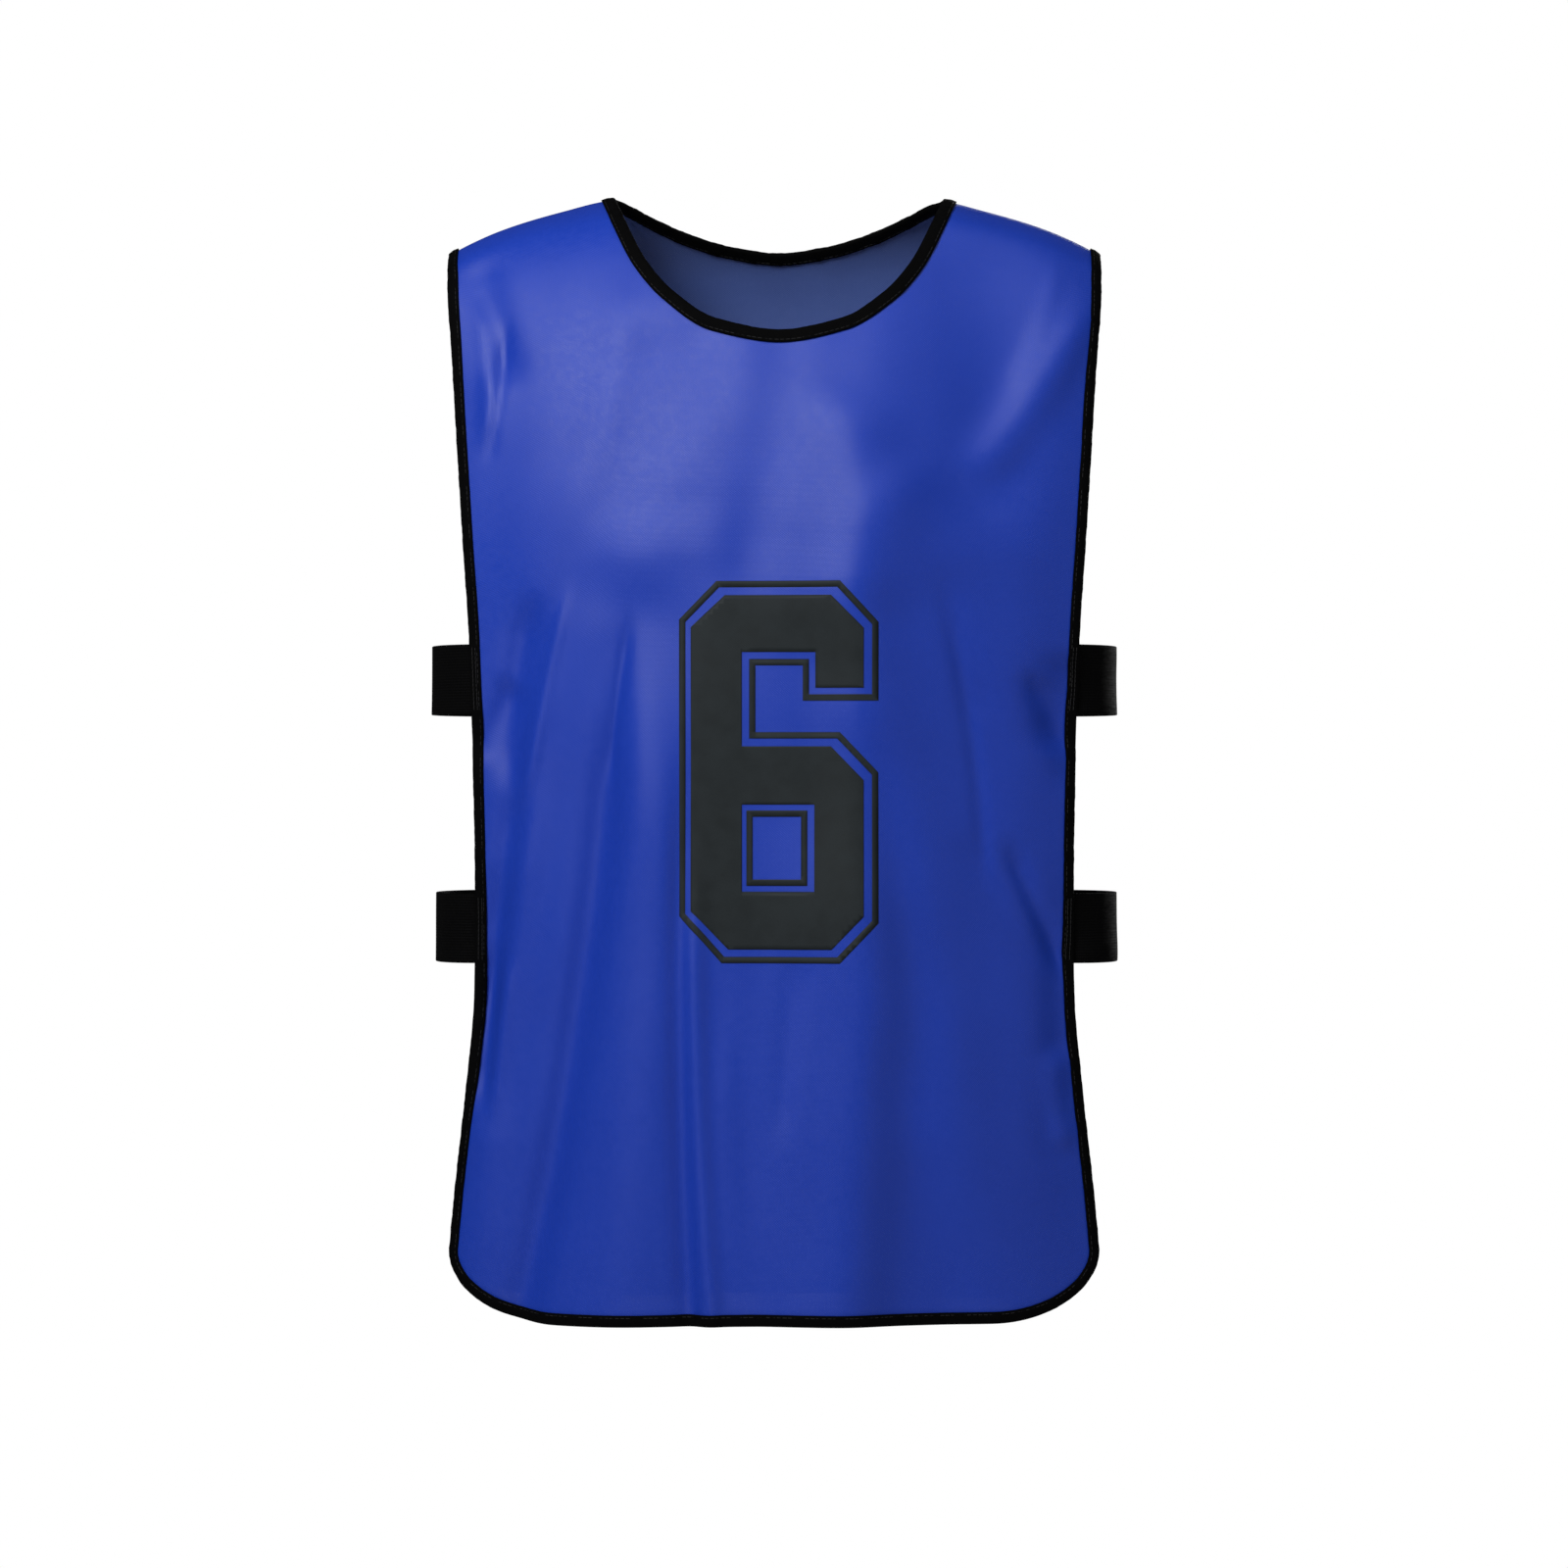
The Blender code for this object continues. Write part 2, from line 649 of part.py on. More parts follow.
def main():
    clear_scene()
    front = Panel(Side(-1, FRONT_DEPTHS, FRONT_FOLDS, FRONT_NECK))
    back = Panel(Side(1, BACK_DEPTHS, BACK_FOLDS, BACK_NECK))
    build_panel("front_panel", front)
    build_panel("back_panel", back)
    build_tape("neck_binding", closed_chain(front.neck_chain(), back.neck_chain()))
    build_tape("edge_binding", closed_chain(front.outer_chain(), back.outer_chain()))
    for strap in STRAPS:
        build_strap(strap, front, back)


main()
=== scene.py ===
"""A mesh training bib, filled out as if worn, dressed in knit cloth, tape, elastic and thread.

Lengths are millimetres until a mesh is made in metres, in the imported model's frame.
+Z is up, the front faces -Y and left is -X, as seen from in front.
"""

import logging
import math
from collections.abc import Callable
from dataclasses import dataclass, field
from enum import Enum
from typing import NamedTuple

import bmesh
import bpy
import numpy as np
from bmesh.types import BMEdge, BMesh
from bpy.types import Material, Object
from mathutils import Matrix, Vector


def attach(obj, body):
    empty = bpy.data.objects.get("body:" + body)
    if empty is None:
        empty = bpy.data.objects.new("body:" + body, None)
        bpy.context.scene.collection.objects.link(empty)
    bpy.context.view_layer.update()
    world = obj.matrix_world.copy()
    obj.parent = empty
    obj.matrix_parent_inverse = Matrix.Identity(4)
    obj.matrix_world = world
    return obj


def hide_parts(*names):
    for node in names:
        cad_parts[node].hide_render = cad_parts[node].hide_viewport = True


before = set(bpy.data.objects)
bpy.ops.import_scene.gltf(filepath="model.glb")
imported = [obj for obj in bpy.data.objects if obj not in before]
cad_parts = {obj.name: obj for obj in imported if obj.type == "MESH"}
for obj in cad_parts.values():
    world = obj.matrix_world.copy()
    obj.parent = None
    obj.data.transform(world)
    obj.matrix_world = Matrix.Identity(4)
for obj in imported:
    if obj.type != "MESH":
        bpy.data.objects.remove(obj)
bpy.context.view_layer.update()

LOG = logging.getLogger("bib")
MM = 0.001
BODY = "root"
CLOTH_MAP = "cloth"

MERGE_WITHIN = 0.001

Array = np.ndarray
Pair = tuple[Array, Array]
Couples = tuple[tuple[float, float], ...]
Slot = int | str
Colour = tuple[float, float, float]


class Height(NamedTuple):
    """A point of the shoulder line, seen from in front."""

    across: float
    height: float


class Edge(NamedTuple):
    """A point of the finished side edge."""

    drop: float
    half_width: float


class Neck(NamedTuple):
    """A point of a finished neck edge, below the shoulder line."""

    across: float
    drop: float


class Depth(NamedTuple):
    """How far a panel stands out at a drop below the shoulder line."""

    drop: float
    at_middle: float
    at_side: float


class Fold(NamedTuple):
    """A soft ridge in the cloth, or a trough where its rise is negative."""

    top_across: float
    top_drop: float
    low_across: float
    low_drop: float
    bow: float
    top_width: float
    low_width: float
    rise: float


def table(kind: type, *rows: tuple) -> tuple:
    """Rows of numbers as rows with named columns."""
    return tuple(kind(*row) for row in rows)


SHOULDER_LINE = table(
    Height,
    (0, 0), (88, 0), (101, -1.8), (122.5, -7.2), (144, -13.2),
    (161, -19), (174.5, -24.8), (184, -29.6), (190.2, -33.6),
)

SIDE_EDGE = table(
    Edge,
    (33.6, 190.2), (60, 189.1), (90, 186.3), (150, 182.1), (205, 178.4), (262, 174.7),
    (320, 173), (390, 171.6), (460, 172.3), (520, 177.4), (575, 183.6), (610, 187),
)

FRONT_NECK = table(
    Neck,
    (0, 83.4), (36, 76.4), (60, 60.6), (76, 41.6), (88, 18), (95.6, 0),
)
BACK_NECK = table(
    Neck,
    (0, 25.6), (29, 22.2), (50, 16.8), (65.5, 11.5), (78, 6.6), (87.5, 2.6), (95.6, 0),
)

FRONT_DEPTHS = table(
    Depth,
    (0, 0, 0), (4, 22, 15), (15, 44, 30), (40, 66, 44),
    (85, 88, 56), (140, 105, 63), (200, 113, 66), (290, 112, 64),
    (400, 107, 60), (520, 104, 57), (680, 103, 56),
)
BACK_DEPTHS = table(
    Depth,
    (0, 0, 0), (4, 20, 13), (15, 44, 28), (40, 68, 42),
    (85, 84, 52), (140, 92, 56), (200, 94, 56), (290, 90, 52),
    (400, 88, 50), (520, 90, 50), (680, 92, 50),
)

# The folds that the solids have too
FRONT_FOLDS = table(
    Fold,
    (-82.5, 46, -126.6, 210.6, 9.6, 14.7, 13.3, 2.1),
    (-33.8, 112.8, -85.1, 248.6, 1, 11.2, 28.4, 2.7),
    (29.7, 105.6, 36.2, 262.6, 20.7, 16.5, 39.4, 5),
    (189.8, 52, 106.9, 180, 2.9, 12.6, 14.3, 5.7),
    (-52.9, 64.5, -53.1, 215.6, -6.9, 34.5, 42.6, -4.6),
    (7, 48.5, -23.3, 243.6, 15.2, 17.9, 23.6, -3.1),
    (107.3, 3.7, 116, 217.9, 6.6, 34.6, 37.6, -7.9),
    (-72, 233.8, -118.9, 769.7, 17.9, 24.8, 37.1, 9.9),
    (-83.5, 224.6, -168.6, 747.9, 12.2, 10.1, 10.2, -7.5),
    (46.5, 316.2, 36.8, 740.7, 0, 34.7, 33.4, 8.8),
    (49.9, 275.8, 106.9, 771.8, 6.9, 12.8, 27.2, -6.8),
    (40.2, 198.3, 105.9, 644.2, -2, 20.5, 42.9, 9.9),
    (137.3, 283.6, 149.8, 615.4, -4.8, 14.7, 28.7, 2.2),
    (174, 264, 157.6, 329.2, 0, 17.4, 14.2, -4.5),
    (159.4, 391.6, 162, 568.7, 3.7, 12, 11.7, -3.8),
    (-157.4, 381.8, -163, 550.4, -1.6, 13.7, 12.6, -4.6),
)
BACK_FOLDS = table(
    Fold,
    (-118, 50, -92, 260, 0, 18, 14, 4),
    (124, 55, 90, 250, 0, 16, 14, 4),
    (-70, 60, -52, 240, 0, 16, 14, -3.5),
    (66, 60, 58, 240, 0, 16, 14, -3.5),
    (2, 70, -6, 300, 0, 22, 16, 3.5),
    (-84, 210, -112, 720, 8, 12, 18, 5),
    (-56, 240, -72, 720, 0, 10, 13, -4.5),
    (-20, 260, -28, 720, 0, 13, 18, 4),
    (14, 280, 16, 720, 0, 11, 14, -4.5),
    (50, 230, 58, 720, 0, 13, 18, 4.5),
    (84, 250, 102, 720, -4, 11, 15, -4.5),
    (118, 220, 142, 640, 0, 12, 16, 4),
    (-136, 250, -150, 620, 0, 11, 13, -4),
)

# Creases and soft folds that only the dressed cloth has
FRONT_CREASES = table(
    Fold,
    (-153.1, 70.4, -164.4, 162.2, 1.5, 3.5, 3.2, -1.8),
    (-90.6, 223.8, -152.2, 371.6, -5.7, 16.5, 3.3, 1.4),
    (-128.6, 308.5, -177.3, 694.3, -5.5, 8, 17.4, 4.8),
    (-51.9, 313.4, -44.7, 714.3, -3.6, 6.1, 7.5, -4.5),
    (-47.3, 366.2, -30.8, 711.1, -4.6, 7.3, 7.4, 5.4),
    (95.6, 231.5, 120.9, 408.3, 4.5, 5.2, 4.7, -1.6),
    (-136.7, 227.9, -152.9, 351.3, -2.5, 8.3, 10.3, -5.3),
    (-172.1, 58.9, -164.7, 155.8, 5.4, 7.3, 5.3, 2.7),
    (-114.3, 223.9, -144.6, 364.1, -1.9, 3.8, 3.9, 2.6),
    (-81, 242.6, -94.4, 347.6, -0.7, 4.1, 3.3, -2.2),
    (164.6, 34, 132.9, 122.9, 5, 4.5, 9.1, 1),
    (91.8, 215.6, 123.4, 314.5, 1.3, 8.2, 9.6, -1.3),
    (-145.6, 321.9, -165.8, 497.5, -0.2, 7.2, 5.1, -3.4),
    (-158, 427.7, -167.3, 532, -0.1, 4.6, 4.4, -3),
    (-150.3, 436.6, -161.8, 540.8, -0.2, 4, 5.3, 2.7),
    (16.3, 423.7, 4, 552.5, -2, 9, 5.9, -1.9),
    (129.6, 369.3, 170.7, 460.2, 0.1, 6.1, 5.8, -3.9),
    (140.6, 274.7, 179.7, 348.2, 2.9, 6, 14.4, -3.9),
    (-148, 279.4, -176.7, 330.3, 3.3, 10.5, 7.8, -3.3),
    (-27.6, 464, -17.3, 689.9, -2.1, 5.4, 12.6, 1.5),
    (162.3, 489.3, 169.1, 556.5, -3.5, 9.3, 7.5, 4.1),
    (-172.7, 22.8, -149.3, 121.8, -3.1, 15, 10.4, -4.5),
    (177, 136.7, 135.6, 191.5, -4.8, 26.4, 30.9, 1.3),
    (83.8, 150.2, 46.3, 289, -9.7, 14.7, 39.9, 4.7),
    (61.7, 467.1, 55.1, 696.9, 14, 14.4, 22.6, -4.4),
    (105.1, 364.3, 162, 452.5, -7, 11.1, 8.5, -1.4),
)
BACK_CREASES = table(
    Fold,
    (-160, 60, -138, 150, 0, 5, 7, -1.6),
    (160, 52, 134, 150, 0, 5, 7, 1.6),
    (-30, 120, -34, 260, 0, 7, 9, -1.6),
    (34, 130, 30, 300, 0, 7, 9, 1.5),
    (-150, 262, -118, 340, 0, 4, 6, -1.8),
    (152, 270, 120, 350, 0, 4, 6, -1.8),
    (150, 400, 118, 500, 0, 5, 6, -2),
    (-150, 404, -124, 480, 0, 4, 6, 1.7),
    (-40, 420, -44, 600, 0, 6, 8, 1.6),
    (34, 400, 38, 560, 0, 5, 8, -1.8),
    (128, 430, 140, 600, 0, 6, 8, -1.6),
)


@dataclass(frozen=True)
class Curve:
    """A smooth curve through points, in order along their first column, without overshoot."""

    points: tuple
    column: int = 1
    flat_start: bool = False

    def at(self, where: Array) -> Array:
        """The curve's value at each place.

        Args:
            where: Places along the first column.

        Returns:
            The values there, going straight on past the last point.
        """
        keys = np.array([row[0] for row in self.points])
        values = np.array([row[self.column] for row in self.points])
        steps = np.diff(keys)
        slopes = np.diff(values) / steps
        before, after = slopes[:-1], slopes[1:]
        same_way = before * after > 0
        inner = np.where(same_way, 2 * before * after / np.where(same_way, before + after, 1), 0)
        first = 0.0 if self.flat_start else slopes[0]
        tangents = np.concatenate([[first], inner, slopes[-1:]])
        i = np.clip(np.searchsorted(keys, where, side="right") - 1, 0, len(steps) - 1)
        t = (where - keys[i]) / steps[i]
        inside = (1 + 2 * t) * (1 - t) ** 2 * values[i] + t * t * (3 - 2 * t) * values[i + 1]
        inside += t * (1 - t) ** 2 * steps[i] * tangents[i]
        inside += t * t * (t - 1) * steps[i] * tangents[i + 1]
        return np.where(t > 1, values[-1] + tangents[-1] * (where - keys[-1]), inside)


def smooth_step(share: Array) -> Array:
    """A soft step from 0 to 1."""
    share = np.clip(share, 0.0, 1.0)
    return share * share * (3 - 2 * share)


def shoulder_height(x: Array) -> Array:
    """The height of the shoulder line at each distance across."""
    return Curve(SHOULDER_LINE, flat_start=True).at(np.abs(x))


def unit(vectors: Array) -> Array:
    """The vectors at length 1."""
    return vectors / np.linalg.norm(vectors, axis=-1, keepdims=True)


def running(steps: Array) -> Array:
    """The running total of steps, from 0."""
    return np.concatenate([[0.0], np.cumsum(steps)])


def distances(points: Array) -> Array:
    """How far along a line of points each of them lies."""
    return running(np.linalg.norm(np.diff(points, axis=0), axis=-1))


def between(want: Array, keys: Array, points: Array) -> Array:
    """The points where a line's rising keys would have these values."""
    return np.stack([np.interp(want, keys, column) for column in points.T], axis=-1)


@dataclass(frozen=True)
class Surface:
    """One panel's cloth, as a map from its flat pattern onto the body.

    A place on the pattern is (across, along): across is its x, and along is its distance down
    the cloth from the shoulder line.
    """

    facing: int
    depths: tuple[Depth, ...]
    folds: tuple[Fold, ...]
    neck: tuple[Neck, ...]
    fold_taper: float = 0.25
    seam_fade: float = 30.0
    edge_at: float = 175.0
    half_gap: float = 0.15
    unevenness: float = 0.35
    step: float = 0.4
    reach: float = 720.0
    places: int = 900

    def roots(self, column: int) -> Curve:
        """A depth column over the square root of the drop."""
        return Curve(tuple((math.sqrt(row.drop), row[column]) for row in self.depths))

    def body_depth(self, root: Array, x: Array) -> Array:
        """The depth without folds."""
        middle, side = self.roots(1).at(root), self.roots(2).at(root)
        return middle - (middle - side) * (x / self.edge_at) ** 2

    def rise(self, x: Array, z: Array) -> Array:
        """How far the folds lift the cloth.

        Args:
            x: Places across, in the front view.
            z: Their heights.

        Returns:
            The lift outwards, which fades towards the shoulder seam.
        """
        total = np.zeros(np.broadcast(x, z).shape)
        for fold in self.folds:
            along_x, along_z = fold.low_across - fold.top_across, fold.top_drop - fold.low_drop
            length = math.hypot(along_x, along_z)
            from_x, from_z = x - fold.top_across, z + fold.top_drop
            share = np.clip((from_x * along_x + from_z * along_z) / length**2, 0, 1)
            aside = (from_z * along_x - from_x * along_z) / length
            aside = aside - fold.bow * np.sin(np.pi * share)
            width = fold.top_width + (fold.low_width - fold.top_width) * share
            taper = self.fold_taper
            ends = smooth_step(share / taper) * smooth_step((1 - share) / taper)
            total = total + fold.rise * ends * np.exp(-((aside / width) ** 2))
        total = total + self.unevenness * self.uneven(x, z)
        return total * smooth_step((shoulder_height(x) - z) / self.seam_fade)

    def uneven(self, x: Array, z: Array) -> Array:
        """The cloth's slight slackness: long soft waves that never line up.

        Args:
            x: Places across, in the front view.
            z: Their heights.

        Returns:
            Lifts between about -2.5 and 2.5.
        """
        wander = 9 * np.sin(z / 61 + self.facing) + 6 * np.sin(x / 37)
        waves = np.sin((x + wander) / 7.3 + 0.6 * np.sin(z / 83))
        waves += 0.8 * np.sin((x * 0.94 + z * 0.33 + wander) / 11.7 + 2.1 * self.facing)
        waves += 0.7 * np.sin((z + 0.4 * wander) / 17.0 + np.sin(x / 29))
        return waves

    def lengths(self) -> Pair:
        """The cloth's length down from the shoulder line, halfway to its side.

        Returns:
            Distances down the cloth, and the square roots of the drops that they reach.
        """
        root = np.linspace(0, math.sqrt(self.reach), self.places)
        depth = self.body_depth(root, np.full_like(root, self.edge_at / 2))
        return running(np.hypot(np.diff(depth), np.diff(root * root))), root

    def on_pattern(self, x: Array, z: Array) -> Pair:
        """The pattern's places of points of the front view."""
        along, root = self.lengths()
        return x, np.interp(np.sqrt(np.maximum(0, shoulder_height(x) - z)), root, along)

    def at(self, across: Array, along: Array) -> Array:
        """The cloth's middle at places on the pattern.

        Args:
            across: Places across the pattern.
            along: Places down the pattern.

        Returns:
            Points, with a last axis of three.
        """
        table, roots = self.lengths()
        root = np.interp(along, table, roots)
        z = shoulder_height(across) - root * root
        y = self.facing * (self.half_gap + self.body_depth(root, across) + self.rise(across, z))
        return np.stack(np.broadcast_arrays(across, y, z), axis=-1)

    def slopes(self, across: Array, along: Array) -> Pair:
        """How the cloth's point moves for each millimetre on the pattern.

        Args:
            across: Places across the pattern.
            along: Places down the pattern.

        Returns:
            The moves for a millimetre across, and for one along.
        """
        h = self.step
        above = np.maximum(0, along - h)
        by_across = (self.at(across + h, along) - self.at(across - h, along)) / (2 * h)
        by_along = self.at(across, along + h) - self.at(across, above)
        return by_across, by_along / (along + h - above)[..., None]

    def normal(self, across: Array, along: Array) -> Array:
        """The directions that face out of the cloth."""
        by_across, by_along = self.slopes(across, along)
        return unit(np.cross(by_along, by_across) * -self.facing)

    def lifted(self, across: Array, along: Array, lift: Array | float) -> Array:
        """Points at a height over the cloth's middle."""
        return self.at(across, along) + self.normal(across, along) * np.asarray(lift)[..., None]

    def moved_in(self, line: Pair, distance: Array | float, steps: int = 4) -> Pair:
        """A line of the pattern moved sideways over the cloth.

        Args:
            line: Places in order along an edge that has the cloth on its inner side.
            distance: How far each place moves, measured on the cloth.
            steps: How many short straight steps that takes.

        Returns:
            The moved places.
        """
        across, along = line
        way = unit(np.gradient(self.at(across, along), axis=0))
        inward = np.cross(self.normal(across, along), way) * -self.facing
        for _ in range(steps):
            by_across, by_along = self.slopes(across, along)
            ways = (by_across, by_along)
            g = [[np.sum(a * b, axis=-1) for b in ways] for a in ways]
            wanted = [np.sum(inward * a, axis=-1) for a in ways]
            size = g[0][0] * g[1][1] - g[0][1] * g[1][0]
            share = np.asarray(distance) / steps / size
            across = across + share * (wanted[0] * g[1][1] - wanted[1] * g[0][1])
            along = np.maximum(0, along + share * (wanted[1] * g[0][0] - wanted[0] * g[1][0]))
        return across, along


def evenly(surface: Surface, line: Pair, count: int) -> Pair:
    """Places at even distances on the cloth along a line.

    Args:
        surface: The cloth.
        line: A finely divided line of its pattern.
        count: How many equal lengths to part it into.

    Returns:
        One more place than lengths, both ends among them.
    """
    total = distances(surface.at(*line))
    want = np.linspace(0, total[-1], count + 1)
    return tuple(np.interp(want, total, part) for part in line)


@dataclass(frozen=True)
class Pattern:
    """The outline that both panels are cut to, in the front view."""

    neck_centre: float = 2.6
    neck_half: float = 95.6
    hem_height: float = -649.0
    hem_dip: float = 1.2
    corner_across: float = 62.0
    corner_up: float = 40.0
    steps: int = 1200

    def neck_line(self, surface: Surface) -> Pair:
        """The finished neck edge.

        Args:
            surface: The panel that it belongs to.

        Returns:
            Its places on the pattern, from right to left.
        """
        aside = self.neck_half * np.cos(np.linspace(0, np.pi, self.steps))
        drop = Curve(surface.neck, flat_start=True).at(np.abs(aside))
        x = self.neck_centre + aside
        return surface.on_pattern(x, shoulder_height(x) - drop)

    def outer_line(self, surface: Surface) -> Pair:
        """The finished edge down the left side, along the hem and up the right side.

        Args:
            surface: The panel that it belongs to.

        Returns:
            Its places on the pattern, from shoulder tip to shoulder tip.
        """
        tip, low = SIDE_EDGE[0], SIDE_EDGE[-1]
        drop = tip.drop + (low.drop - tip.drop) * np.linspace(0, 1, self.steps) ** 2
        side = (Curve(SIDE_EDGE).at(drop), -drop)
        turn = np.linspace(0, np.pi / 2, self.steps // 4)[1:]
        corner_x = low.half_width - self.corner_across
        corner_z = self.hem_height - self.hem_dip + self.corner_up
        turn_x, turn_z = self.corner_across * np.cos(turn), self.corner_up * np.sin(turn)
        share = np.linspace(0, 1, self.steps // 4)[1:]
        hem_z = self.hem_height - self.hem_dip * (1 - smooth_step(share))
        x = np.concatenate([side[0], corner_x + turn_x, corner_x * (1 - share)])
        z = np.concatenate([side[1], corner_z - turn_z, hem_z])
        return surface.on_pattern(np.concatenate([-x, x[-2::-1]]), np.concatenate([z, z[-2::-1]]))


FRONT = Surface(-1, FRONT_DEPTHS, FRONT_FOLDS + FRONT_CREASES, FRONT_NECK)
BACK = Surface(1, BACK_DEPTHS, BACK_FOLDS + BACK_CREASES, BACK_NECK)
PATTERN = Pattern()


def weave(
    name: str, points: Array, pattern: Array, out: Array, material: Material
) -> Object:
    """Lays a sheet of four-sided faces through rows of points.

    Args:
        name: The piece's name.
        points: Rows by columns by three, in millimetres.
        pattern: Rows by columns by two, where the points lie on the flat cloth, in millimetres.
        out: The way that the sheet faces at the middle row's middle column.
        material: What the piece is made of.

    Returns:
        The object, smooth and riding on the bib.
    """
    rows, columns = points.shape[:2]
    mesh = bmesh.new()
    bmesh.ops.create_grid(mesh, x_segments=columns - 1, y_segments=rows - 1, size=1)
    places = {}
    for vertex in mesh.verts:
        column = round((vertex.co.x + 1) / 2 * (columns - 1))
        row = round((vertex.co.y + 1) / 2 * (rows - 1))
        places[vertex] = (row, column)
    flat = mesh.loops.layers.uv.new(CLOTH_MAP)
    for face in mesh.faces:
        for loop in face.loops:
            loop[flat].uv = pattern[places[loop.vert]]
    for vertex, place in places.items():
        vertex.co = points[place] * MM
    mesh.normal_update()
    middle = next(v for v, place in places.items() if place == (rows // 2, columns // 2))
    if middle.normal.dot(Vector(out)) < 0:
        bmesh.ops.reverse_faces(mesh, faces=mesh.faces)
    bmesh.ops.remove_doubles(mesh, verts=mesh.verts, dist=MERGE_WITHIN * MM)
    return ride(add_mesh(name, mesh, material))


def add_object(name: str, data: bpy.types.ID) -> Object:
    """Adds an object to the scene.

    Args:
        name: The object's name.
        data: Its mesh, lamp or camera.

    Returns:
        The object.
    """
    made = bpy.data.objects.new(name, data)
    bpy.context.scene.collection.objects.link(made)
    return made


def add_mesh(name: str, mesh: BMesh, material: Material) -> Object:
    """Adds a built mesh to the scene.

    Args:
        name: The object's name.
        mesh: The mesh, in metres, which is freed.
        material: What it is made of.

    Returns:
        The object, shaded smooth.
    """
    data = bpy.data.meshes.new(name)
    mesh.to_mesh(data)
    mesh.free()
    data.shade_smooth()
    data.materials.append(material)
    LOG.info("%s: %d faces", name, len(data.polygons))
    return add_object(name, data)


def ride(piece: Object) -> Object:
    """Puts a piece on the bib's one body."""
    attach(piece, BODY)
    return piece


def thicken(piece: Object, thickness: float) -> None:
    """Gives a sheet its thickness, half on each side.

    Args:
        piece: The sheet.
        thickness: How thick, in millimetres.
    """
    wall = piece.modifiers.new("thickness", "SOLIDIFY")
    wall.thickness = thickness * MM
    wall.offset = 0


class Wire:
    """One output of a node. Arithmetic on it adds Math nodes."""

    def __init__(self, recipe: "Recipe", socket: bpy.types.NodeSocket) -> None:
        """Wraps a socket of a recipe's tree."""
        self.recipe = recipe
        self.socket = socket

    def math(self, operation: str, *values: "Wire | float") -> "Wire":
        """A Math node on these values."""
        return self.recipe.add("ShaderNodeMath", {"operation": operation}, dict(enumerate(values)))

    def __add__(self, other: "Wire | float") -> "Wire":
        """The sum."""
        return self.math("ADD", self, other)

    __radd__ = __add__

    def __sub__(self, other: "Wire | float") -> "Wire":
        """The difference."""
        return self.math("SUBTRACT", self, other)

    def __rsub__(self, other: float) -> "Wire":
        """A number less this."""
        return self.math("SUBTRACT", other, self)

    def __mul__(self, other: "Wire | float") -> "Wire":
        """The product."""
        return self.math("MULTIPLY", self, other)

    __rmul__ = __mul__

    def cosine(self, turns: float) -> "Wire":
        """A cosine wave that repeats every so many units."""
        return self.math("COSINE", self * (2 * math.pi / turns))

    def band(self, low: float, high: float, start: float = 0.0, end: float = 1.0) -> "Wire":
        """A soft step.

        Args:
            low: Where this starts to count.
            high: Where it has its full effect.
            start: The result up to low.
            end: The result from high on.

        Returns:
            The result, smooth in between.
        """
        settings = {"interpolation_type": "SMOOTHSTEP"}
        values = {"Value": self, "From Min": low, "From Max": high, "To Min": start, "To Max": end}
        return self.recipe.add("ShaderNodeMapRange", settings, values)


class Recipe:
    """The node tree of one material."""

    def __init__(self, name: str) -> None:
        """Starts a material with its shader.

        Args:
            name: The material's name.
        """
        self.material = bpy.data.materials.new(name)
        self.material.use_nodes = True
        self.tree = self.material.node_tree
        self.shader = self.tree.nodes["Principled BSDF"]

    def add(
        self, kind: str, settings: dict | None = None, values: dict | None = None, output: Slot = 0
    ) -> Wire:
        """Adds one node.

        Args:
            kind: The node's type.
            settings: Its own properties, set first.
            values: Numbers, colours or wires for its sockets, by name or place.
            output: Which of its outputs is wanted.

        Returns:
            That output.
        """
        node = self.tree.nodes.new(kind)
        for key, value in (settings or {}).items():
            setattr(node, key, value)
        for key, value in (values or {}).items():
            self.feed(node.inputs[key], value)
        return Wire(self, node.outputs[output])

    def feed(self, socket: bpy.types.NodeSocket, value: Wire | float | tuple) -> None:
        """Links a wire to a socket, or sets the socket's own value.

        Args:
            socket: The node's or shader's input.
            value: A wire, a number or a colour.
        """
        if isinstance(value, Wire):
            self.tree.links.new(value.socket, socket)
        else:
            socket.default_value = value

    def dress(self, **values: Wire | float | tuple) -> Material:
        """Sets the shader's sockets, named with underscores for spaces.

        Args:
            values: What each socket gets.

        Returns:
            The finished material.
        """
        for key, value in values.items():
            self.feed(self.shader.inputs[key.replace("_", " ")], value)
        return self.material

    def cloth_place(self) -> tuple[Wire, Wire]:
        """The place on the flat cloth.

        Returns:
            Millimetres across and along.
        """
        flat = self.add("ShaderNodeUVMap", {"uv_map": CLOTH_MAP})
        parts = self.add("ShaderNodeSeparateXYZ", values={0: flat})
        return parts, Wire(self, parts.socket.node.outputs[1])

    def noise(self, size: float, detail: float = 3.0) -> Wire:
        """Soft noise through the object's space.

        Args:
            size: How many metres its grains are across.
            detail: How many finer layers it has.

        Returns:
            Values from 0 to 1.
        """
        where = self.add("ShaderNodeTexCoord", output="Object")
        values = {"Vector": where, "Scale": 1 / size, "Detail": detail}
        return self.add("ShaderNodeTexNoise", values=values)

    def blend(self, share: Wire, low: tuple, high: tuple) -> Wire:
        """A colour between two."""
        values = {"Factor": share, 6: (*low, 1), 7: (*high, 1)}
        return self.add("ShaderNodeMix", {"data_type": "RGBA"}, values, output=2)

    def relief(self, height: Wire, depth: float, strength: float = 1.0) -> Wire:
        """A bump for the Normal socket, from a height of 0 to 1 and a depth in metres."""
        values = {"Height": height, "Distance": depth, "Strength": strength}
        return self.add("ShaderNodeBump", values=values)


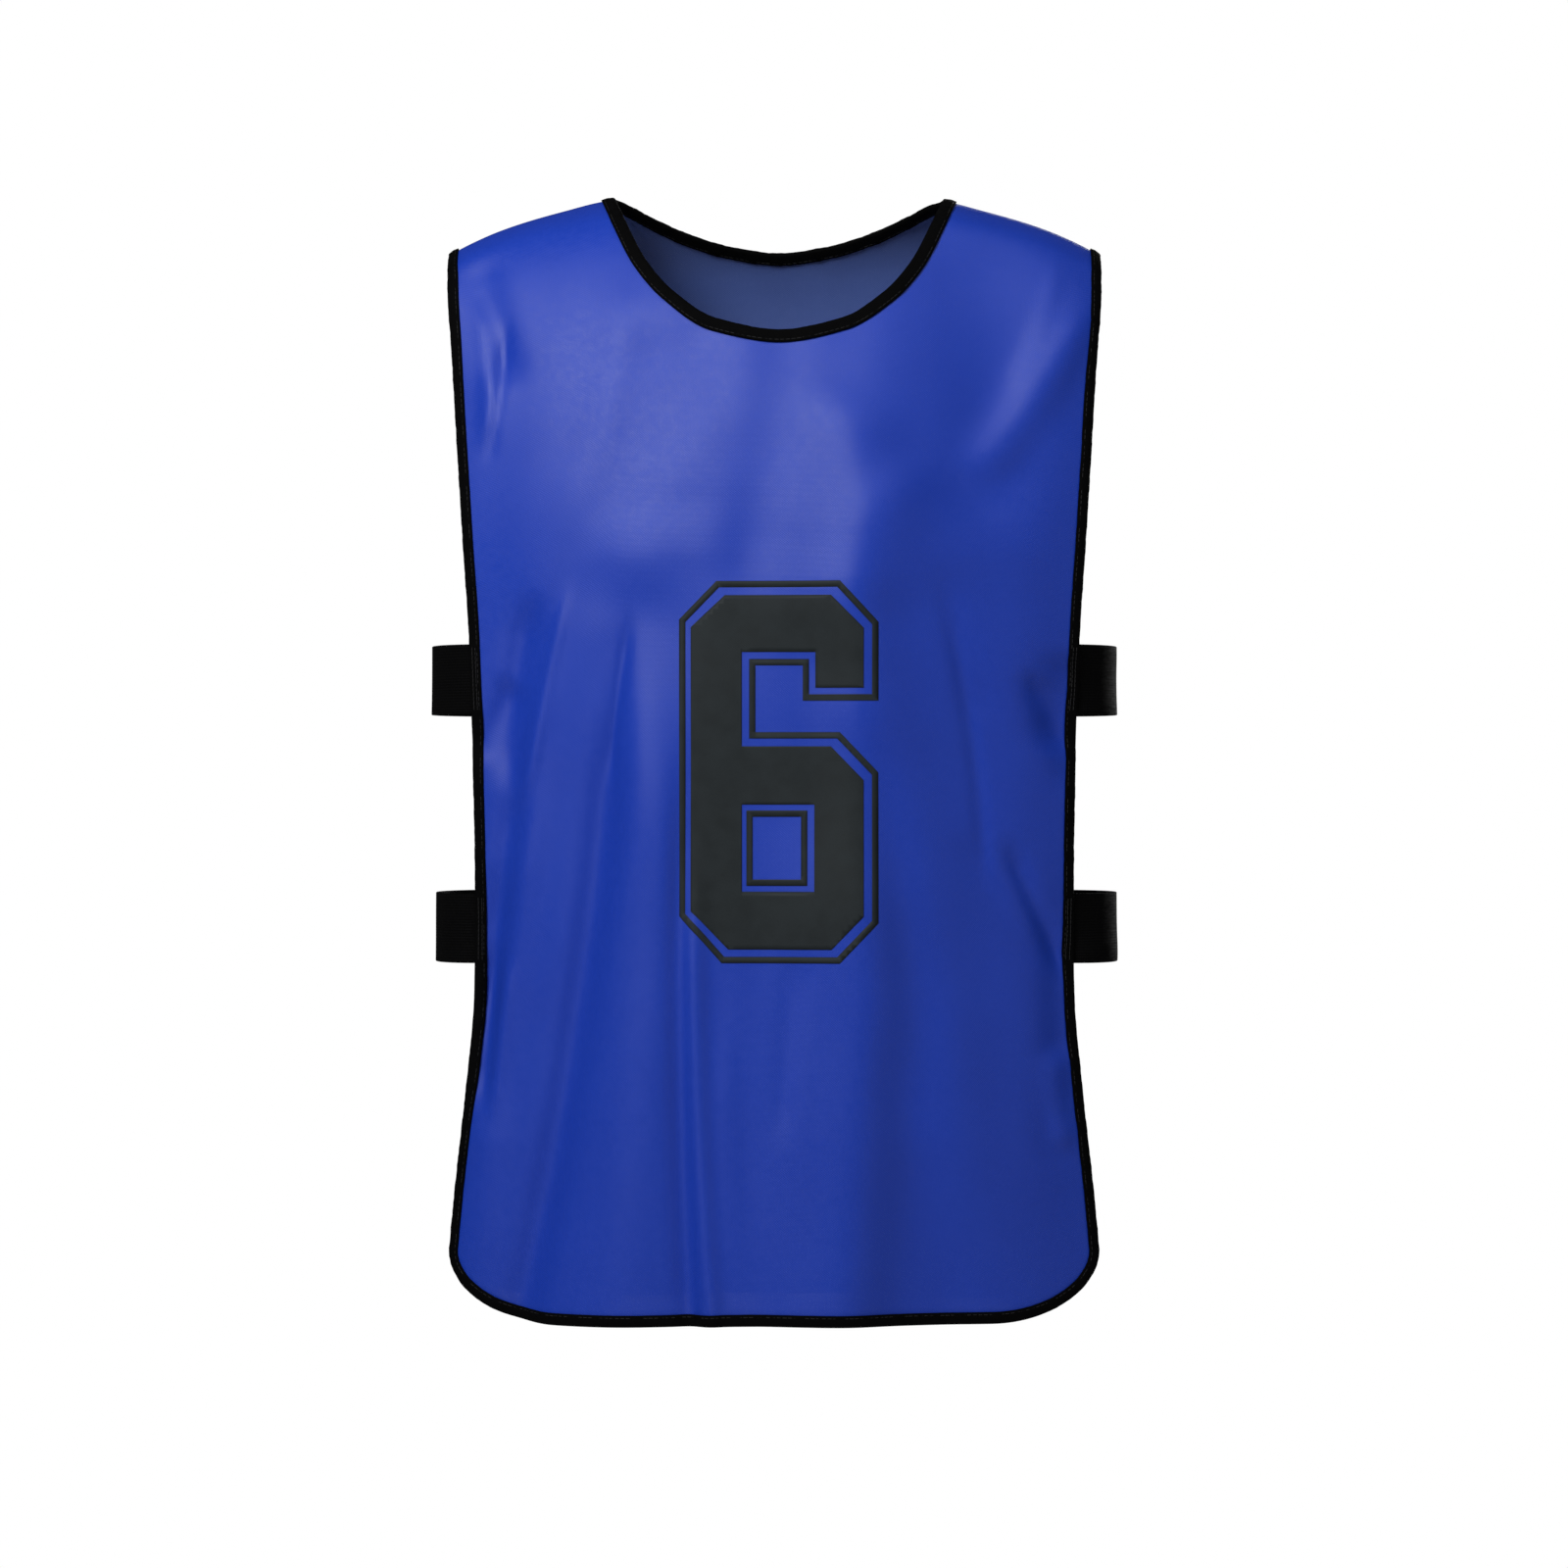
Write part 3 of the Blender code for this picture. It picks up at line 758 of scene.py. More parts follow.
@dataclass(frozen=True)
class MeshKnit:
    """Fine satin knit with staggered rows of small holes; sizes in millimetres."""

    name: str = "blue_mesh_knit"
    deep: Colour = (0.0062, 0.0315, 0.318)
    bright: Colour = (0.0088, 0.0410, 0.378)
    wale: float = 1.5
    course: float = 1.3
    open_from: float = 0.82
    open_to: float = 0.90
    fluff_over_holes: float = 0.55
    roughness: tuple[float, float] = (0.38, 0.47)
    specular: float = 0.32
    relief: float = 0.00009

    def material(self) -> Material:
        """Makes the knit.

        Returns:
            A material for panels that have a cloth map.
        """
        recipe = Recipe(self.name)
        across, along = recipe.cloth_place()
        cells = across.cosine(self.wale) * along.cosine(self.course)
        yarn = along.cosine(self.course / 2) * 0.3 + across.cosine(self.wale / 4) * 0.2
        cloudy = recipe.noise(0.045)
        slubs = recipe.noise(0.004, 1.0)
        # The colour is darker over the holes: painted shade of the cloth's shaded inside seen
        # through them.
        tone = cloudy * 0.6 + slubs * 0.25 + (0.15 - cells * 0.25)
        return recipe.dress(
            Base_Color=recipe.blend(tone, self.deep, self.bright),
            Roughness=slubs.band(0.2, 0.8, *self.roughness),
            Specular_IOR_Level=self.specular,
            Alpha=cells.band(self.open_from, self.open_to, 1.0, self.fluff_over_holes),
            Normal=recipe.relief(yarn - cells * 0.5, self.relief, 0.6),
        )


@dataclass(frozen=True)
class FoldedTape:
    """Matt black knit tape with fine cross ribs; sizes in millimetres."""

    name: str = "black_folded_tape"
    deep: Colour = (0.0003, 0.0003, 0.0004)
    bright: Colour = (0.0011, 0.0011, 0.0013)
    rib: float = 0.9
    relief: float = 0.00008

    def material(self) -> Material:
        """Makes the tape.

        Returns:
            A material whose ribs lie across the tape's length.
        """
        recipe = Recipe(self.name)
        across, along = recipe.cloth_place()
        rib = along.cosine(self.rib) * 0.5 + across.cosine(self.rib * 0.8) * 0.3
        fluff = recipe.noise(0.003, 4.0)
        return recipe.dress(
            Base_Color=recipe.blend(fluff.band(0.35, 0.75), self.deep, self.bright),
            Roughness=fluff.band(0.2, 0.8, 0.75, 0.95),
            Specular_IOR_Level=0.05,
            Normal=recipe.relief(rib + fluff * 0.4, self.relief, 0.7),
        )


@dataclass(frozen=True)
class RibbedElastic:
    """Black elastic with cords along its length; sizes in millimetres."""

    name: str = "black_ribbed_elastic"
    deep: Colour = (0.0003, 0.0003, 0.0004)
    bright: Colour = (0.0015, 0.0015, 0.0017)
    cord: float = 1.6
    pick: float = 1.1
    relief: float = 0.00022

    def material(self) -> Material:
        """Makes the elastic.

        Returns:
            A material whose cords follow the strap round the open side.
        """
        recipe = Recipe(self.name)
        across, along = recipe.cloth_place()
        cords = across.cosine(self.cord)
        picks = along.cosine(self.pick) * 0.35
        fluff = recipe.noise(0.002, 4.0)
        tone = cords.band(-0.8, 0.9) * 0.6 + fluff * 0.4
        return recipe.dress(
            Base_Color=recipe.blend(tone, self.deep, self.bright),
            Roughness=fluff.band(0.2, 0.8, 0.7, 0.92),
            Specular_IOR_Level=0.05,
            Normal=recipe.relief(cords * 0.5 + picks, self.relief, 0.8),
        )


@dataclass(frozen=True)
class SewingThread:
    """Black spun thread; sizes in millimetres."""

    name: str = "black_thread"
    dark: Colour = (0.0010, 0.0010, 0.0012)
    light: Colour = (0.0065, 0.0065, 0.0072)
    twist: float = 0.5

    def material(self) -> Material:
        """Makes the thread.

        Returns:
            A material with a slanting twist.
        """
        recipe = Recipe(self.name)
        across, along = recipe.cloth_place()
        plies = (along + across * 0.8).cosine(self.twist)
        return recipe.dress(
            Base_Color=recipe.blend(plies.band(-1.0, 1.0), self.dark, self.light),
            Roughness=plies.band(-1.0, 1.0, 0.7, 0.5),
            Specular_IOR_Level=0.3,
            Normal=recipe.relief(plies, 0.00006, 0.6),
        )


@dataclass(frozen=True)
class PrintInk:
    """A flat dark grey print that lets a little of the knit show through; sizes in millimetres."""

    name: str = "numeral_print"
    dark: Colour = (0.0140, 0.0176, 0.0194)
    light: Colour = (0.0171, 0.0216, 0.0239)
    wale: float = 1.5
    course: float = 1.3

    def material(self) -> Material:
        """Makes the print.

        Returns:
            A material for a film on the knit.
        """
        recipe = Recipe(self.name)
        across, along = recipe.cloth_place()
        cells = across.cosine(self.wale) * along.cosine(self.course)
        mottle = recipe.noise(0.012, 4.0)
        return recipe.dress(
            Base_Color=recipe.blend(mottle.band(0.25, 0.75), self.dark, self.light),
            Roughness=mottle.band(0.2, 0.8, 0.55, 0.7),
            Specular_IOR_Level=0.12,
            Normal=recipe.relief(cells * -0.5, 0.00005, 0.4),
        )


class Finish(Enum):
    """What the pieces are made of, by the record's material slot."""

    KNIT = ("mesh_cloth", MeshKnit())
    # The inner faces' knit: a greyer, lighter copy of the blue knit, painted light for the white
    # surroundings seen through the holes.
    REVERSE = (
        "mesh_cloth",
        MeshKnit("blue_mesh_inner_painted_light", (0.048, 0.080, 0.250), (0.060, 0.100, 0.300)),
    )
    TAPE = ("edge_tape", FoldedTape())
    ELASTIC = ("elastic", RibbedElastic())
    THREAD = ("edge_tape", SewingThread())
    PRINT = ("mesh_cloth", PrintInk())

    def material(self) -> Material:
        """The material, made once."""
        made = bpy.data.materials.get(self.value[1].name)
        return made or self.value[1].material()

    def give(self, piece: Object) -> Object:
        """Returns the piece as it is."""
        return piece


@dataclass(frozen=True)
class ClothPanel:
    """One body panel: a thin shell of knit, from bound edge to bound edge."""

    node: str
    surface: Surface
    flat: tuple[float, float]
    area: float
    seam_columns: int = 34
    neck_columns: int = 84
    rows: int = 230
    crowding: float = 1.25
    thickness: float = 0.6
    edge_places: int = 1600
    edge_inset: float = 1.5
    keep_out: float = 400.0
    seam_dip: float = 0.7
    seam_dip_width: float = 1.6

    def outline(self) -> tuple[Pair, Pair, Pair, Pair]:
        """The cloth's own edges on the pattern.

        Returns:
            The top, hem, left and right lines, from left to right or from the top down.
        """
        surface, columns = self.surface, 2 * self.seam_columns + self.neck_columns
        outer = evenly(surface, PATTERN.outer_line(surface), self.edge_places)
        outer = np.array(surface.moved_in(outer, self.edge_inset))
        neck = evenly(surface, PATTERN.neck_line(surface), self.neck_columns)
        neck = np.array(surface.moved_in(neck, self.edge_inset))[:, ::-1]
        share = np.arange(self.seam_columns) / self.seam_columns
        seams = [outer[:, [i]] + (neck[:, [i]] - outer[:, [i]]) * share for i in (0, -1)]
        top = np.concatenate([seams[0], neck, seams[1][:, ::-1]], axis=1)
        low = self.corner(outer)
        left = self.spread(outer[:, : low + 1], self.rows, self.crowding)
        right = self.spread(outer[:, : -low - 2 : -1], self.rows, self.crowding)
        return top, self.spread(outer[:, low:-low], columns, 1.0), left, right

    def corner(self, outer: Pair) -> int:
        """Which place of the outer line is the middle of the left hem corner."""
        return int(np.argmax(outer[1] - outer[0] - self.keep_out * (outer[0] > 0)))

    def spread(self, line: Pair, count: int, crowding: float) -> Pair:
        """Places along a line of the pattern, closer together at its start.

        Args:
            line: The line.
            count: How many lengths to part it into.
            crowding: 1 for even lengths, and more for shorter ones at the start.

        Returns:
            One more place than lengths, both ends among them.
        """
        total = running(np.hypot(*np.diff(line)))
        want = total[-1] * np.linspace(0, 1, count + 1) ** crowding
        return tuple(np.interp(want, total, part) for part in line)

    def filled(self) -> Pair:
        """Places all over the panel, blended between its four edges.

        Returns:
            Places across and along the pattern, rows by columns.
        """
        top, hem, left, right = self.outline()
        u = np.linspace(0, 1, len(top[0]))[None, :]
        v = np.linspace(0, 1, self.rows + 1)[:, None] ** self.crowding
        found = []
        for k in range(2):
            corners = (1 - v) * ((1 - u) * top[k][0] + u * top[k][-1])
            corners = corners + v * ((1 - u) * hem[k][0] + u * hem[k][-1])
            sides = (1 - u) * left[k][:, None] + u * right[k][:, None]
            found.append((1 - v) * top[k][None, :] + v * hem[k][None, :] + sides - corners)
        return found[0], np.maximum(0, found[1])

    def build(self) -> Object:
        """Makes the panel in place of its solid.

        Returns:
            The panel.
        """
        across, along = self.filled()
        dip = self.seam_dip * np.exp(-((along / self.seam_dip_width) ** 2))
        points = self.surface.lifted(across, along, -dip)
        middle = points.shape[0] // 2, points.shape[1] // 2
        out = self.surface.normal(across[middle], along[middle])
        pattern = np.stack([across, along], axis=-1)
        panel = weave(self.node + "_knit", points, pattern, out, Finish.KNIT.material())
        # The inner face takes the greyer, lighter knit of painted light.
        panel.data.materials.append(Finish.REVERSE.material())
        thicken(panel, self.thickness)
        panel.modifiers["thickness"].material_offset = 1
        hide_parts(self.node)
        return Finish.KNIT.give(panel)


@dataclass(frozen=True)
class Loop:
    """An edge that runs round both panels, divided evenly, with one place at each shoulder."""

    line_of: Callable[[Surface], Pair]
    pitch: float = 2.4

    def places(self, surface: Surface) -> Pair:
        """The edge on one panel's pattern.

        Args:
            surface: The panel.

        Returns:
            Places at even distances of about the pitch.
        """
        line = self.line_of(surface)
        length = distances(surface.at(*line))[-1]
        return evenly(surface, line, round(length / self.pitch))

    def swept(self, section: Callable[[Surface, Pair], Array]) -> Array:
        """A section carried round the loop.

        Args:
            section: Gives places by nodes by three for one panel's part of the edge.

        Returns:
            Rings by nodes by three, where the last ring repeats the first.
        """
        front, back = (section(surface, self.places(surface)) for surface in (FRONT, BACK))
        start, end = ((front[[i]] + back[[i]]) / 2 for i in (0, -1))
        return np.concatenate([start, front[1:-1], end, back[-2:0:-1], start])


NECK_LOOP = Loop(PATTERN.neck_line)
OUTER_LOOP = Loop(PATTERN.outer_line)


@dataclass(frozen=True)
class Binding:
    """Tape folded over an edge loop, with a row of stitches along each of its faces.

    Each pucker wave has a length in millimetres and a phase.
    """

    name: str
    node: str
    loop: Loop
    width: float
    flat: tuple[float, float]
    thickness: float = 0.9
    fold_radius: float = 1.15
    pressed: float = 0.85
    fullness: float = 0.35
    pucker: float = 0.12
    pucker_waves: Couples = ((1.9, 0), (3.1, 1), (0.83, 2))
    flank_nodes: int = 6
    fold_nodes: int = 7
    stitch_inset: float = 1.5
    stitch_pitch: float = 3.2
    thread_radius: float = 0.24
    measured_ring: int = 9

    def section(self) -> Pair:
        """The folded tape's middle line.

        Returns:
            Distances in from the finished edge, and lifts over the cloth's middle.
        """
        centre = self.thickness / 2 + self.fold_radius
        share = np.linspace(0, 1, self.flank_nodes, endpoint=False)
        inset = self.width - (self.width - centre) * share
        lift = self.pressed + (self.fold_radius - self.pressed) * share
        lift = lift + self.fullness * np.sin(np.pi * share) ** 2
        turn = np.linspace(-np.pi / 2, np.pi / 2, self.fold_nodes)
        fold_inset = centre - self.fold_radius * np.cos(turn)
        fold_lift = self.fold_radius * np.sin(turn)
        insets = np.concatenate([inset, fold_inset, inset[::-1]])
        return insets, np.concatenate([-lift, fold_lift, lift[::-1]])

    def folded(self, surface: Surface, line: Pair) -> Array:
        """The folded tape along one panel's part of an edge.

        Args:
            surface: The panel.
            line: Places of the finished edge.

        Returns:
            Places by nodes by three.
        """
        insets, lifts = self.section()
        along = np.arange(len(line[0])) * self.loop.pitch
        wave = sum(np.sin(along / length + phase) for length, phase in self.pucker_waves)
        levels, order = np.unique(insets.round(3), return_inverse=True)
        found, place, reached = [], line, 0.0
        for level in levels:
            place = surface.moved_in(place, level - reached, steps=1)
            reached = level
            found.append((surface.at(*place), surface.normal(*place)))
        nodes = []
        for i, lift in zip(order, lifts):
            height = lift + np.sign(lift) * self.pucker * wave
            nodes.append(found[i][0] + found[i][1] * height[:, None])
        return np.stack(nodes, axis=1)

    def build(self) -> Object:
        """Makes the tape in place of its solid.

        Returns:
            The tape.
        """
        rings = self.loop.swept(self.folded)
        along, across = distances(rings.mean(axis=1)), distances(rings[self.measured_ring])
        pattern = np.stack(np.meshgrid(across, along), axis=-1)
        middle = rings.shape[0] // 2, rings.shape[1] // 2
        out = rings[middle] - rings[middle[0], [0, -1]].mean(axis=0)
        tape = weave(self.name, rings, pattern, out, Finish.TAPE.material())
        thicken(tape, self.thickness)
        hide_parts(self.node)
        LOG.info("%s: %.0f by %.1f mm of tape", self.name, along[-1], across[-1])
        return Finish.TAPE.give(tape)

    def build_stitches(self) -> Object:
        """Makes the row of stitches on each face of the tape.

        Returns:
            The thread.
        """
        lift = self.pressed + self.thickness / 2
        rows = []
        for hand in (1, -1):

            def beside(surface: Surface, line: Pair, hand: int = hand) -> Array:
                """The row's line with a point above it, to tell which way is out.

                Args:
                    surface: The panel.
                    line: Places of the finished edge.
                    hand: 1 for the tape's outer face and -1 for its inner one.

                Returns:
                    Places by two by three.
                """
                place = surface.moved_in(line, self.width - self.stitch_inset)
                both = [surface.lifted(*place, hand * high) for high in (lift, lift + 1)]
                return np.stack(both, axis=1)

            row = self.loop.swept(beside)
            rows.append((row[:, 0], row[:, 1] - row[:, 0]))
        seam = StitchRow(self.stitch_pitch, self.thread_radius)
        return seam.build(self.name + "_stitches", rows)


@dataclass(frozen=True)
class StitchRow:
    """Thread that rises out of the cloth and dives back into it, once a stitch."""

    pitch: float
    radius: float
    samples: int = 5
    sides: int = 5
    buried_share: float = 0.24
    dive: float = 0.75
    crown: float = 0.35

    def tube(self, path: Array, out: Array) -> tuple[Array, Array]:
        """The thread's skin along a path.

        Args:
            path: Points on the cloth's face.
            out: The way out of the cloth at each of them.

        Returns:
            Rings by sides by three, and the same places on the flat thread.
        """
        total = distances(path)
        stitches = max(1, round(total[-1] / self.pitch))
        want = np.linspace(0, total[-1], stitches * self.samples + 1)
        centre = between(want, total, path)
        up = unit(between(want, total, out))
        way = unit(np.gradient(centre, axis=0))
        aside = unit(np.cross(way, up))
        phase = (np.arange(len(want)) % self.samples) / self.samples
        level = np.where(phase < self.buried_share / 2, -self.dive, self.crown) * self.radius * 2
        centre = centre + up * level[:, None]
        turn = np.linspace(0, 2 * np.pi, self.sides + 1)
        sine, cosine = np.sin(turn)[None, :, None], np.cos(turn)[None, :, None]
        skin = centre[:, None] + self.radius * (aside[:, None] * sine + up[:, None] * cosine)
        flat = np.stack(np.meshgrid(turn * self.radius, want), axis=-1)
        return skin, flat

    def build(self, name: str, rows: list[tuple[Array, Array]]) -> Object:
        """Makes rows of stitches one piece.

        Args:
            name: The piece's name.
            rows: Each row's points and the ways out of the cloth there.

        Returns:
            The thread.
        """
        made = []
        for path, out in rows:
            skin, flat = self.tube(path, out)
            middle = skin.shape[0] // 2, skin.shape[1] // 2
            facing = skin[middle] - skin[middle[0], 0]
            made.append(weave(f"{name}_{len(made)}", skin, flat, facing, Finish.THREAD.material()))
        return Finish.THREAD.give(join(name, made))


def join(name: str, pieces: list[Object]) -> Object:
    """Joins meshes of one material.

    Args:
        name: The joined piece's name.
        pieces: The pieces, of which only the first stays.

    Returns:
        The joined piece.
    """
    mesh = bmesh.new()
    for piece in pieces:
        mesh.from_mesh(piece.data)
    first, others = pieces[0], pieces[1:]
    mesh.to_mesh(first.data)
    mesh.free()
    for piece in others:
        bpy.data.objects.remove(piece)
    first.name = name
    first.data.name = name
    return first


@dataclass(frozen=True)
class SideStrap:
    """A ribbed elastic strap, lapped and sewn on the inside of both bound edges."""

    node: str
    top_drop: float
    hand: int
    reach: float
    flat: tuple[float, float]
    width: float = 40.0
    thickness: float = 1.4
    buried: float = 2.3
    lap: float = 7.6
    rows: int = 20
    steps: int = 36
    lap_steps: int = 4
    rounding: float = 0.45
    pull_per_bulge: float = 8.0
    past_strap: float = 30.0
    edge_places: int = 120
    lap_end: float = 1.3
    stitch_insets: tuple[float, float] = (2.6, 4.6)
    stitch_margin: float = 2.0
    stitch_places: int = 30
    stitch_lift: float = 1.85
    stitch_pitch: float = 2.6
    thread_radius: float = 0.24

    def lapped(self, surface: Surface, drop: Array) -> tuple[Array, Array]:
        """Points under one bound edge, from the lap's end to the cloth's edge, and the way out.

        Args:
            surface: The panel that it is sewn to.
            drop: Heights down the strap.

        Returns:
            Steps by rows by three, and rows by three.
        """
        past = self.past_strap
        edge = self.edge(surface, np.linspace(drop[0] - past, drop[-1] + past, self.edge_places))
        found = []
        for inset in np.linspace(self.lap, self.lap_end, self.lap_steps + 1):
            points = surface.lifted(*surface.moved_in(edge, inset), -self.buried)
            points = points[np.argsort(-points[:, 2])]
            found.append(between(drop, -points[:, 2], points))
        return np.stack(found), unit(found[-1] - found[0])

    def edge(self, surface: Surface, drop: Array) -> Pair:
        """The panel's finished side edge beside the strap, in the order that moved_in needs."""
        across, along = surface.on_pattern(self.hand * Curve(SIDE_EDGE).at(drop), -drop)
        return across[:: -self.hand], along[:: -self.hand]

    def lines(self) -> Array:
        """The strap's middle, from the lap in front to the lap behind.

        Returns:
            Rows down by steps round by three.
        """
        drop = self.top_drop + self.width * np.linspace(0, 1, self.rows + 1)
        front, leave = self.lapped(FRONT, drop)
        back, arrive = self.lapped(BACK, drop)
        start, end = front[-1], back[-1]
        bulge = self.hand * (self.reach - self.thickness / 2) - (start[:, 0] + end[:, 0]) / 2
        pull = (self.pull_per_bulge * bulge / (leave[:, 0] + arrive[:, 0]))[:, None]
        middle = []
        for t in np.linspace(0, 1, self.steps + 1)[1:-1]:
            spot = start * (1 + 2 * t) * (1 - t) ** 2 + end * t * t * (3 - 2 * t)
            middle.append(spot + pull * (t * (1 - t) ** 2 * leave + t * t * (1 - t) * arrive))
        return np.concatenate([front, np.stack(middle), back[::-1]]).transpose(1, 0, 2)

    def build(self) -> Object:
        """Makes the strap in place of its solid.

        Returns:
            The strap.
        """
        points = self.lines()
        along = distances(points[self.rows // 2])
        across = self.width * np.linspace(0, 1, self.rows + 1)
        pattern = np.stack(np.meshgrid(across, along, indexing="ij"), axis=-1)
        out, elastic = (self.hand, 0, 0), Finish.ELASTIC.material()
        strap = weave(self.node + "_elastic", points, pattern, out, elastic)
        thicken(strap, self.thickness)
        edges = strap.modifiers.new("rounded_edges", "BEVEL")
        edges.width = self.rounding * MM
        edges.segments = 2
        edges.limit_method = "ANGLE"
        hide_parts(self.node)
        LOG.info("%s: %.0f mm of elastic", self.node, along[-1])
        return Finish.ELASTIC.give(strap)

    def build_stitches(self) -> Object:
        """Makes two rows of stitches through tape and strap at each end, on both faces.

        Returns:
            The thread.
        """
        share = np.linspace(0, 1, self.stitch_places)
        drop = self.top_drop + self.stitch_margin + (self.width - 2 * self.stitch_margin) * share
        rows = []
        for surface in (FRONT, BACK):
            for inset in self.stitch_insets:
                place = surface.moved_in(self.edge(surface, drop), inset)
                face, out = surface.at(*place), surface.normal(*place)
                rows.append((face + out * self.stitch_lift, out))
                rows.append((face - out * (self.buried + self.thickness / 2), -out))
        seam = StitchRow(self.stitch_pitch, self.thread_radius)
        return seam.build(self.node + "_stitches", rows)


@dataclass(frozen=True)
class ShoulderSeams:
    """The seam allowances of both shoulders, turned down inside and sewn together."""

    name: str = "shoulder_seams"
    allowance: float = 7.0
    ply: float = 0.7
    columns: int = 36
    rows: int = 6
    thickness: float = 0.45
    fold_share: float = 0.12
    end_inset: float = 1.6
    end_share: float = 0.12
    end_taper: float = 16.0

    def flap(self, hand: int) -> tuple[Array, Array]:
        """One shoulder's allowance, a folded strip that hangs below the seam.

        Args:
            hand: -1 on the left and 1 on the right.

        Returns:
            Its points, and their places on the flat cloth.
        """
        near = PATTERN.neck_centre + hand * (PATTERN.neck_half + self.end_inset)
        far = hand * (SIDE_EDGE[0].half_width - self.end_inset)
        x = np.linspace(near, far, self.columns)
        seam, up = FRONT.at(x, 0 * x), FRONT.normal(x, 0 * x)
        seam[:, 1] = 0
        down = np.linspace(1, self.fold_share, self.rows)
        down = np.concatenate([down, down[::-1]])
        aside = np.concatenate([np.full(self.rows, -1.0), np.full(self.rows, 1.0)]) * self.ply / 2
        wave = 0.5 * np.sin(x / 6.1) + 0.4 * np.sin(x / 2.9)
        from_end = np.minimum(np.abs(x - near), np.abs(x - far))
        kept = self.end_share + (1 - self.end_share) * smooth_step(from_end / self.end_taper)
        rows = []
        for depth, y in zip(down, aside):
            row = seam - up * (depth * self.allowance * kept)[:, None]
            row[:, 1] += y + wave * depth * kept
            rows.append(row)
        flat = np.stack(np.meshgrid((down - 1) * self.allowance, x, indexing="ij")[::-1], axis=-1)
        return np.stack(rows), flat

    def build(self) -> Object:
        """Makes both allowances as one piece.

        Returns:
            The allowances.
        """
        made = []
        for hand in (-1, 1):
            points, flat = self.flap(hand)
            # The allowances take the greyer, lighter knit of painted light.
            cloth = Finish.REVERSE.material()
            made.append(weave(f"{self.name}_{hand + 1}", points, flat, (0, 0, 1), cloth))
        seams = Finish.KNIT.give(join(self.name, made))
        thicken(seams, self.thickness)
        return seams


@dataclass(frozen=True)
class Numeral:
    """A printed block figure with a separate outline, in millimetres of the front view."""

    name: str = "printed_numeral"
    line: float = 3.6
    lift: float = 0.45
    film: float = 0.12
    cell: float = 3.0
    outline: Couples = (
        (-53.6, -249.2), (-32.6, -227.6), (37.1, -227.6), (58.6, -250.8), (58.6, -295.1),
        (16.1, -295.1), (16.1, -275.2), (-10.5, -275.2), (-10.5, -312.8), (37.1, -312.8),
        (58.6, -335.5), (58.6, -420.6), (37.1, -443.3), (-29.8, -443.3), (-53.6, -416.8),
    )
    body: Couples = (
        (-47, -253.6), (-27.9, -235.6), (32.1, -235.6), (50.4, -254.2), (50.4, -287.9),
        (23.3, -287.9), (23.3, -267.7), (-18.2, -267.7), (-18.2, -320.8), (32.1, -320.8),
        (50.4, -339.9), (50.4, -416.8), (32.4, -435.6), (-26, -435.6), (-47, -414),
    )
    counter: Couples = (
        (-18.2, -353.7), (22.7, -353.7), (22.7, -402.9), (-18.2, -402.9),
    )
    counter_line: Couples = (
        (-15.7, -357), (18.8, -357), (18.8, -399.6), (-15.7, -399.6),
    )

    def loop(self, mesh: BMesh, corners: tuple) -> list[BMEdge]:
        """A closed line through corners of the front view."""
        verts = [mesh.verts.new((x, z, 0)) for x, z in corners]
        return [mesh.edges.new(pair) for pair in zip(verts, verts[1:] + verts[:1])]

    def drawn(self) -> BMesh:
        """The flat figure: the body with its hole, the outline and the line in the hole.

        Returns:
            The mesh, with x and y for the front view's x and height.
        """
        mesh = bmesh.new()
        for corners in (self.outline, self.counter_line):
            edges = self.loop(mesh, corners)
            made = bmesh.ops.contextual_create(mesh, geom=edges)["faces"]
            bmesh.ops.inset_region(
                mesh, faces=made, thickness=self.line, use_even_offset=True, use_boundary=True
            )
            bmesh.ops.delete(mesh, geom=made, context="FACES")
        edges = self.loop(mesh, self.body) + self.loop(mesh, self.counter)
        bmesh.ops.triangle_fill(mesh, use_beauty=True, edges=edges)
        return mesh

    def divided(self) -> BMesh:
        """The flat figure, cut into small cells that can follow the cloth.

        Returns:
            The mesh, still flat.
        """
        mesh = self.drawn()
        low = Vector(min(v.co[k] for v in mesh.verts) for k in range(2))
        high = Vector(max(v.co[k] for v in mesh.verts) for k in range(2))
        for k in range(2):
            normal = Vector((1 - k, k, 0))
            for cut in np.arange(low[k] + self.cell / 2, high[k], self.cell):
                geometry = list(mesh.verts) + list(mesh.edges) + list(mesh.faces)
                bmesh.ops.bisect_plane(mesh, geom=geometry, plane_co=normal * cut, plane_no=normal)
        return mesh

    def build(self) -> Object:
        """Lays the figure on the front panel.

        Returns:
            The print.
        """
        mesh = self.divided()
        flat_x = np.array([v.co.x for v in mesh.verts])
        flat_z = np.array([v.co.y for v in mesh.verts])
        across, along = FRONT.on_pattern(flat_x, flat_z)
        points = FRONT.lifted(across, along, self.lift)
        flat = mesh.loops.layers.uv.new(CLOTH_MAP)
        mesh.verts.index_update()
        for face in mesh.faces:
            for loop in face.loops:
                i = loop.vert.index
                loop[flat].uv = across[i], along[i]
        for vertex, point in zip(mesh.verts, points):
            vertex.co = point * MM
        mesh.normal_update()
        for face in mesh.faces:
            if face.normal.y > 0:
                face.normal_flip()
        numeral = ride(add_mesh(self.name, mesh, Finish.PRINT.material()))
        thicken(numeral, self.film)
        return Finish.PRINT.give(numeral)


